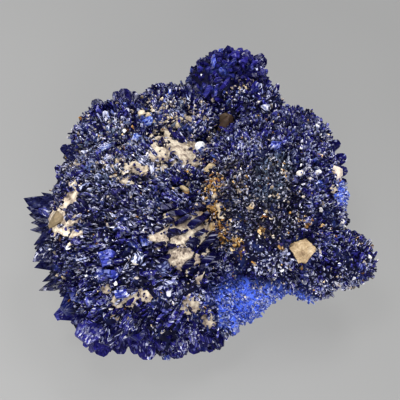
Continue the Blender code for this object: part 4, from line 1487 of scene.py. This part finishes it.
clayTones = [
    (0.32, (0.10, 0.075, 0.060)), (0.44, (0.34, 0.275, 0.220)),
    (0.56, (0.55, 0.475, 0.375)), (0.68, (0.63, 0.560, 0.450)),
]
leftClay = dict(edge=(-0.0145, -0.0125), gain=1.42, saturation=0.9)  # brighter and a little less saturated on the left side


def leftLift(n, where, colour):
    x = n.add("SeparateXYZ", {"Vector": where}).outputs["X"]
    gain = n.spread(x, *leftClay["edge"], leftClay["gain"], 1.0)
    return n.shifted(colour, Value=gain, Saturation=leftClay["saturation"])


def rindMaterial():
    n = Nodes("azurite_rind")
    where = n.objectPoint()
    fine = n.noise(where, 2200.0, 4.0, 0.65)
    coarse = n.noise(where, 900.0, 4.0, 0.6)
    look = azuriteFinish
    # the darkest azurite tones: partly painted shade for the gaps between the crystals
    darkest = [colour for _, colour in look["tones"][:3]]
    colour = n.ramp(fine, list(zip((0.5, 0.7, 0.8), darkest)))
    colour = n.mix(n.attribute("azure"), colour, look["azure"])
    rust = n.spread(n.plus(n.times(n.attribute("limonite"), 0.7), fine), 1.0, 1.12)
    colour = n.mix(rust, colour, n.ramp(fine, [(at - 0.05, tone) for at, tone in look["rusts"]]))
    clay = n.spread(n.plus(n.attribute("clay"), fine), 0.75, 0.95)
    rusty = [(at, (red, green * 0.80, blue * 0.45)) for at, (red, green, blue) in clayTones]
    stain = n.times(n.attribute("limonite"), 1.3, clamp=True)
    stained = n.mix(stain, n.ramp(coarse, clayTones), n.ramp(coarse, rusty))
    colour = n.mix(clay, colour, leftLift(n, where, stained))
    rough = n.spread(fine, 0.3, 0.7, 0.45, 0.85)
    bump = n.bump(fine, 0.6, 0.0001)
    return n.finish(Base_Color=colour, Roughness=rough, Normal=bump, Specular_IOR_Level=0.25)


def clayMaterial():
    n = Nodes("dry_clay")
    where = n.objectPoint()
    coarse = n.noise(where, 900.0, 4.0, 0.6)
    fine = n.noise(where, 3400.0, 4.0, 0.7)
    mottle = n.noise(where, 2100.0, 3.0, 0.6)
    blend = n.plus(n.times(coarse, 0.6), n.times(mottle, 0.4))
    colour = leftLift(n, where, n.ramp(n.spread(blend, 0.36, 0.64, 0.28, 0.74), clayTones))
    colour = n.mix(n.spread(fine, 0.60, 0.70, 0.0, 0.8), colour, (0.08, 0.065, 0.07))
    rough = n.spread(fine, 0.3, 0.7, 0.75, 0.95)
    return n.finish(Base_Color=colour, Roughness=rough, Normal=n.bump(fine, 0.8, 0.00012))


def rockMaterial(name, dark, middle, light, stain):
    n = Nodes(name)
    where = n.objectPoint()
    coarse = n.noise(where, 700.0, 3.0, 0.6)
    fine = n.noise(where, 4200.0, 4.0, 0.7)
    colour = n.ramp(coarse, [(0.32, dark), (0.50, middle), (0.68, light)])
    grain = n.add("TexVoronoi", {"Vector": where, "Scale": 5200.0}).outputs["Distance"]
    colour = n.mix(n.spread(grain, 0.0, 0.8, 0.35, 0.0), colour, stain)
    rough = n.spread(fine, 0.3, 0.7, 0.55, 0.85)
    return n.finish(Base_Color=colour, Roughness=rough, Normal=n.bump(fine, 0.7, 0.0001))


def grainMaterial():
    # each grain has its own tint, with finer mottling over it
    n = Nodes("grains")
    mottle = n.noise(n.objectPoint(), 2400.0, 3.0, 0.6)
    tint = n.add("Attribute", attribute_name="tint").outputs["Color"]
    tone = n.shifted(tint, Value=n.spread(mottle, 0.3, 0.7, 0.7, 1.2))
    rough = n.spread(mottle, 0.3, 0.7, 0.5, 0.85)
    return n.finish(Base_Color=tone, Roughness=rough, Normal=n.bump(mottle, 0.7, 0.00008))


# dark, middle and light parts of the two rocks, and their stains
hostTones = ((0.25, 0.18, 0.11), (0.47, 0.365, 0.235), (0.58, 0.485, 0.36), (0.20, 0.12, 0.06))
paleTones = ((0.46, 0.37, 0.30), (0.68, 0.59, 0.50), (0.82, 0.77, 0.72), (0.36, 0.30, 0.34))
for material, pieces in (
        (grainMaterial(), [grainPiece, singlePiece]), (clayMaterial(), clayPieces),
        (rockMaterial("host_rock", *hostTones), [hostPebble]),
        (rockMaterial("pale_rock", *paleTones), [palePebble]), (azuriteMaterial(), crystalPieces)):
    for piece in pieces:
        piece.data.materials.append(material)
rindMesh.materials.append(rindMaterial())
print("materials", len(bpy.data.materials))


# Studio: floor, lights and camera

studio = {
    "floorColour": (0.03, 0.03, 0.03), "floorGlow": 0.435, "floorFall": (-1.0, -1.3, 0.0),
    "glowLimits": (0.36, 0.56), "glowColour": (1.0, 1.0, 0.995), "floorSize": 1.5, "floorDrop": 0.00005,
    "worldColour": (0.62, 0.63, 0.65), "worldStrength": 0.07,
    "cameraAngle": 55.0, "cameraDistance": 0.26, "lens": 180.0, "target": (0.0001, -0.0007, 0.011),
    "softboxes": {  # place, side and power
        "key": ((0.16, 0.22, 0.42), 0.18, 1.7),
        "top": ((-0.10, 0.02, 0.50), 0.16, 1.0),
        "back": ((-0.14, 0.40, 0.26), 0.16, 1.0),
        "left": ((-0.44, -0.10, 0.22), 0.18, 1.1),
        "front": ((0.02, -0.42, 0.26), 0.16, 2.0),
        "right": ((0.44, -0.08, 0.22), 0.18, 1.1),
    },
}


def addAimed(name, data, place, way):
    # a lamp or camera at a place, looking along a direction
    made = bpy.data.objects.new(name, data)
    made.location = place
    made.rotation_mode = "QUATERNION"
    made.rotation_quaternion = way.to_track_quat("-Z", "Y")
    scene.collection.objects.link(made)
    return made


def makeFloor():
    bm = bmesh.new()
    bmesh.ops.create_grid(bm, x_segments=2, y_segments=2, size=studio["floorSize"])
    bmesh.ops.translate(bm, vec=(0.0, 0.0, -studio["floorDrop"]), verts=bm.verts)
    floor = bpy.data.objects.new("floor", meshFrom(bm, "floor"))
    scene.collection.objects.link(floor)
    n = Nodes("floor")
    least, most = studio["glowLimits"]
    # painted light: the floor glows, more towards the front left, which also keeps its shadow faint
    fall = n.vector("DOT_PRODUCT", n.objectPoint(), studio["floorFall"])["Value"]
    glow = n.math("MINIMUM", n.math("MAXIMUM", n.plus(fall, studio["floorGlow"]), least), most)
    floor.data.materials.append(n.finish(
        Base_Color=studio["floorColour"], Roughness=0.8,
        Emission_Color=studio["glowColour"], Emission_Strength=glow))


def makeStudio():
    makeFloor()
    world = bpy.data.worlds.new("studio")
    world.use_nodes = True
    background = world.node_tree.nodes["Background"]
    background.inputs["Color"].default_value = (*studio["worldColour"], 1.0)
    background.inputs["Strength"].default_value = studio["worldStrength"]
    scene.world = world
    target = Vector(studio["target"])
    for name, (place, side, power) in studio["softboxes"].items():
        data = bpy.data.lights.new(name, "AREA")
        data.size = side
        data.energy = power
        addAimed(name, data, place, target - Vector(place))
    angle = math.radians(studio["cameraAngle"])
    back = Vector((0.0, -math.cos(angle), math.sin(angle)))
    data = bpy.data.cameras.new("camera")
    data.lens = studio["lens"]
    data.sensor_width = 36.0
    data.clip_start = 0.01
    scene.camera = addAimed("camera", data, target + back * studio["cameraDistance"], -back)


makeStudio()
print("studio", len(studio["softboxes"]), "lamps")
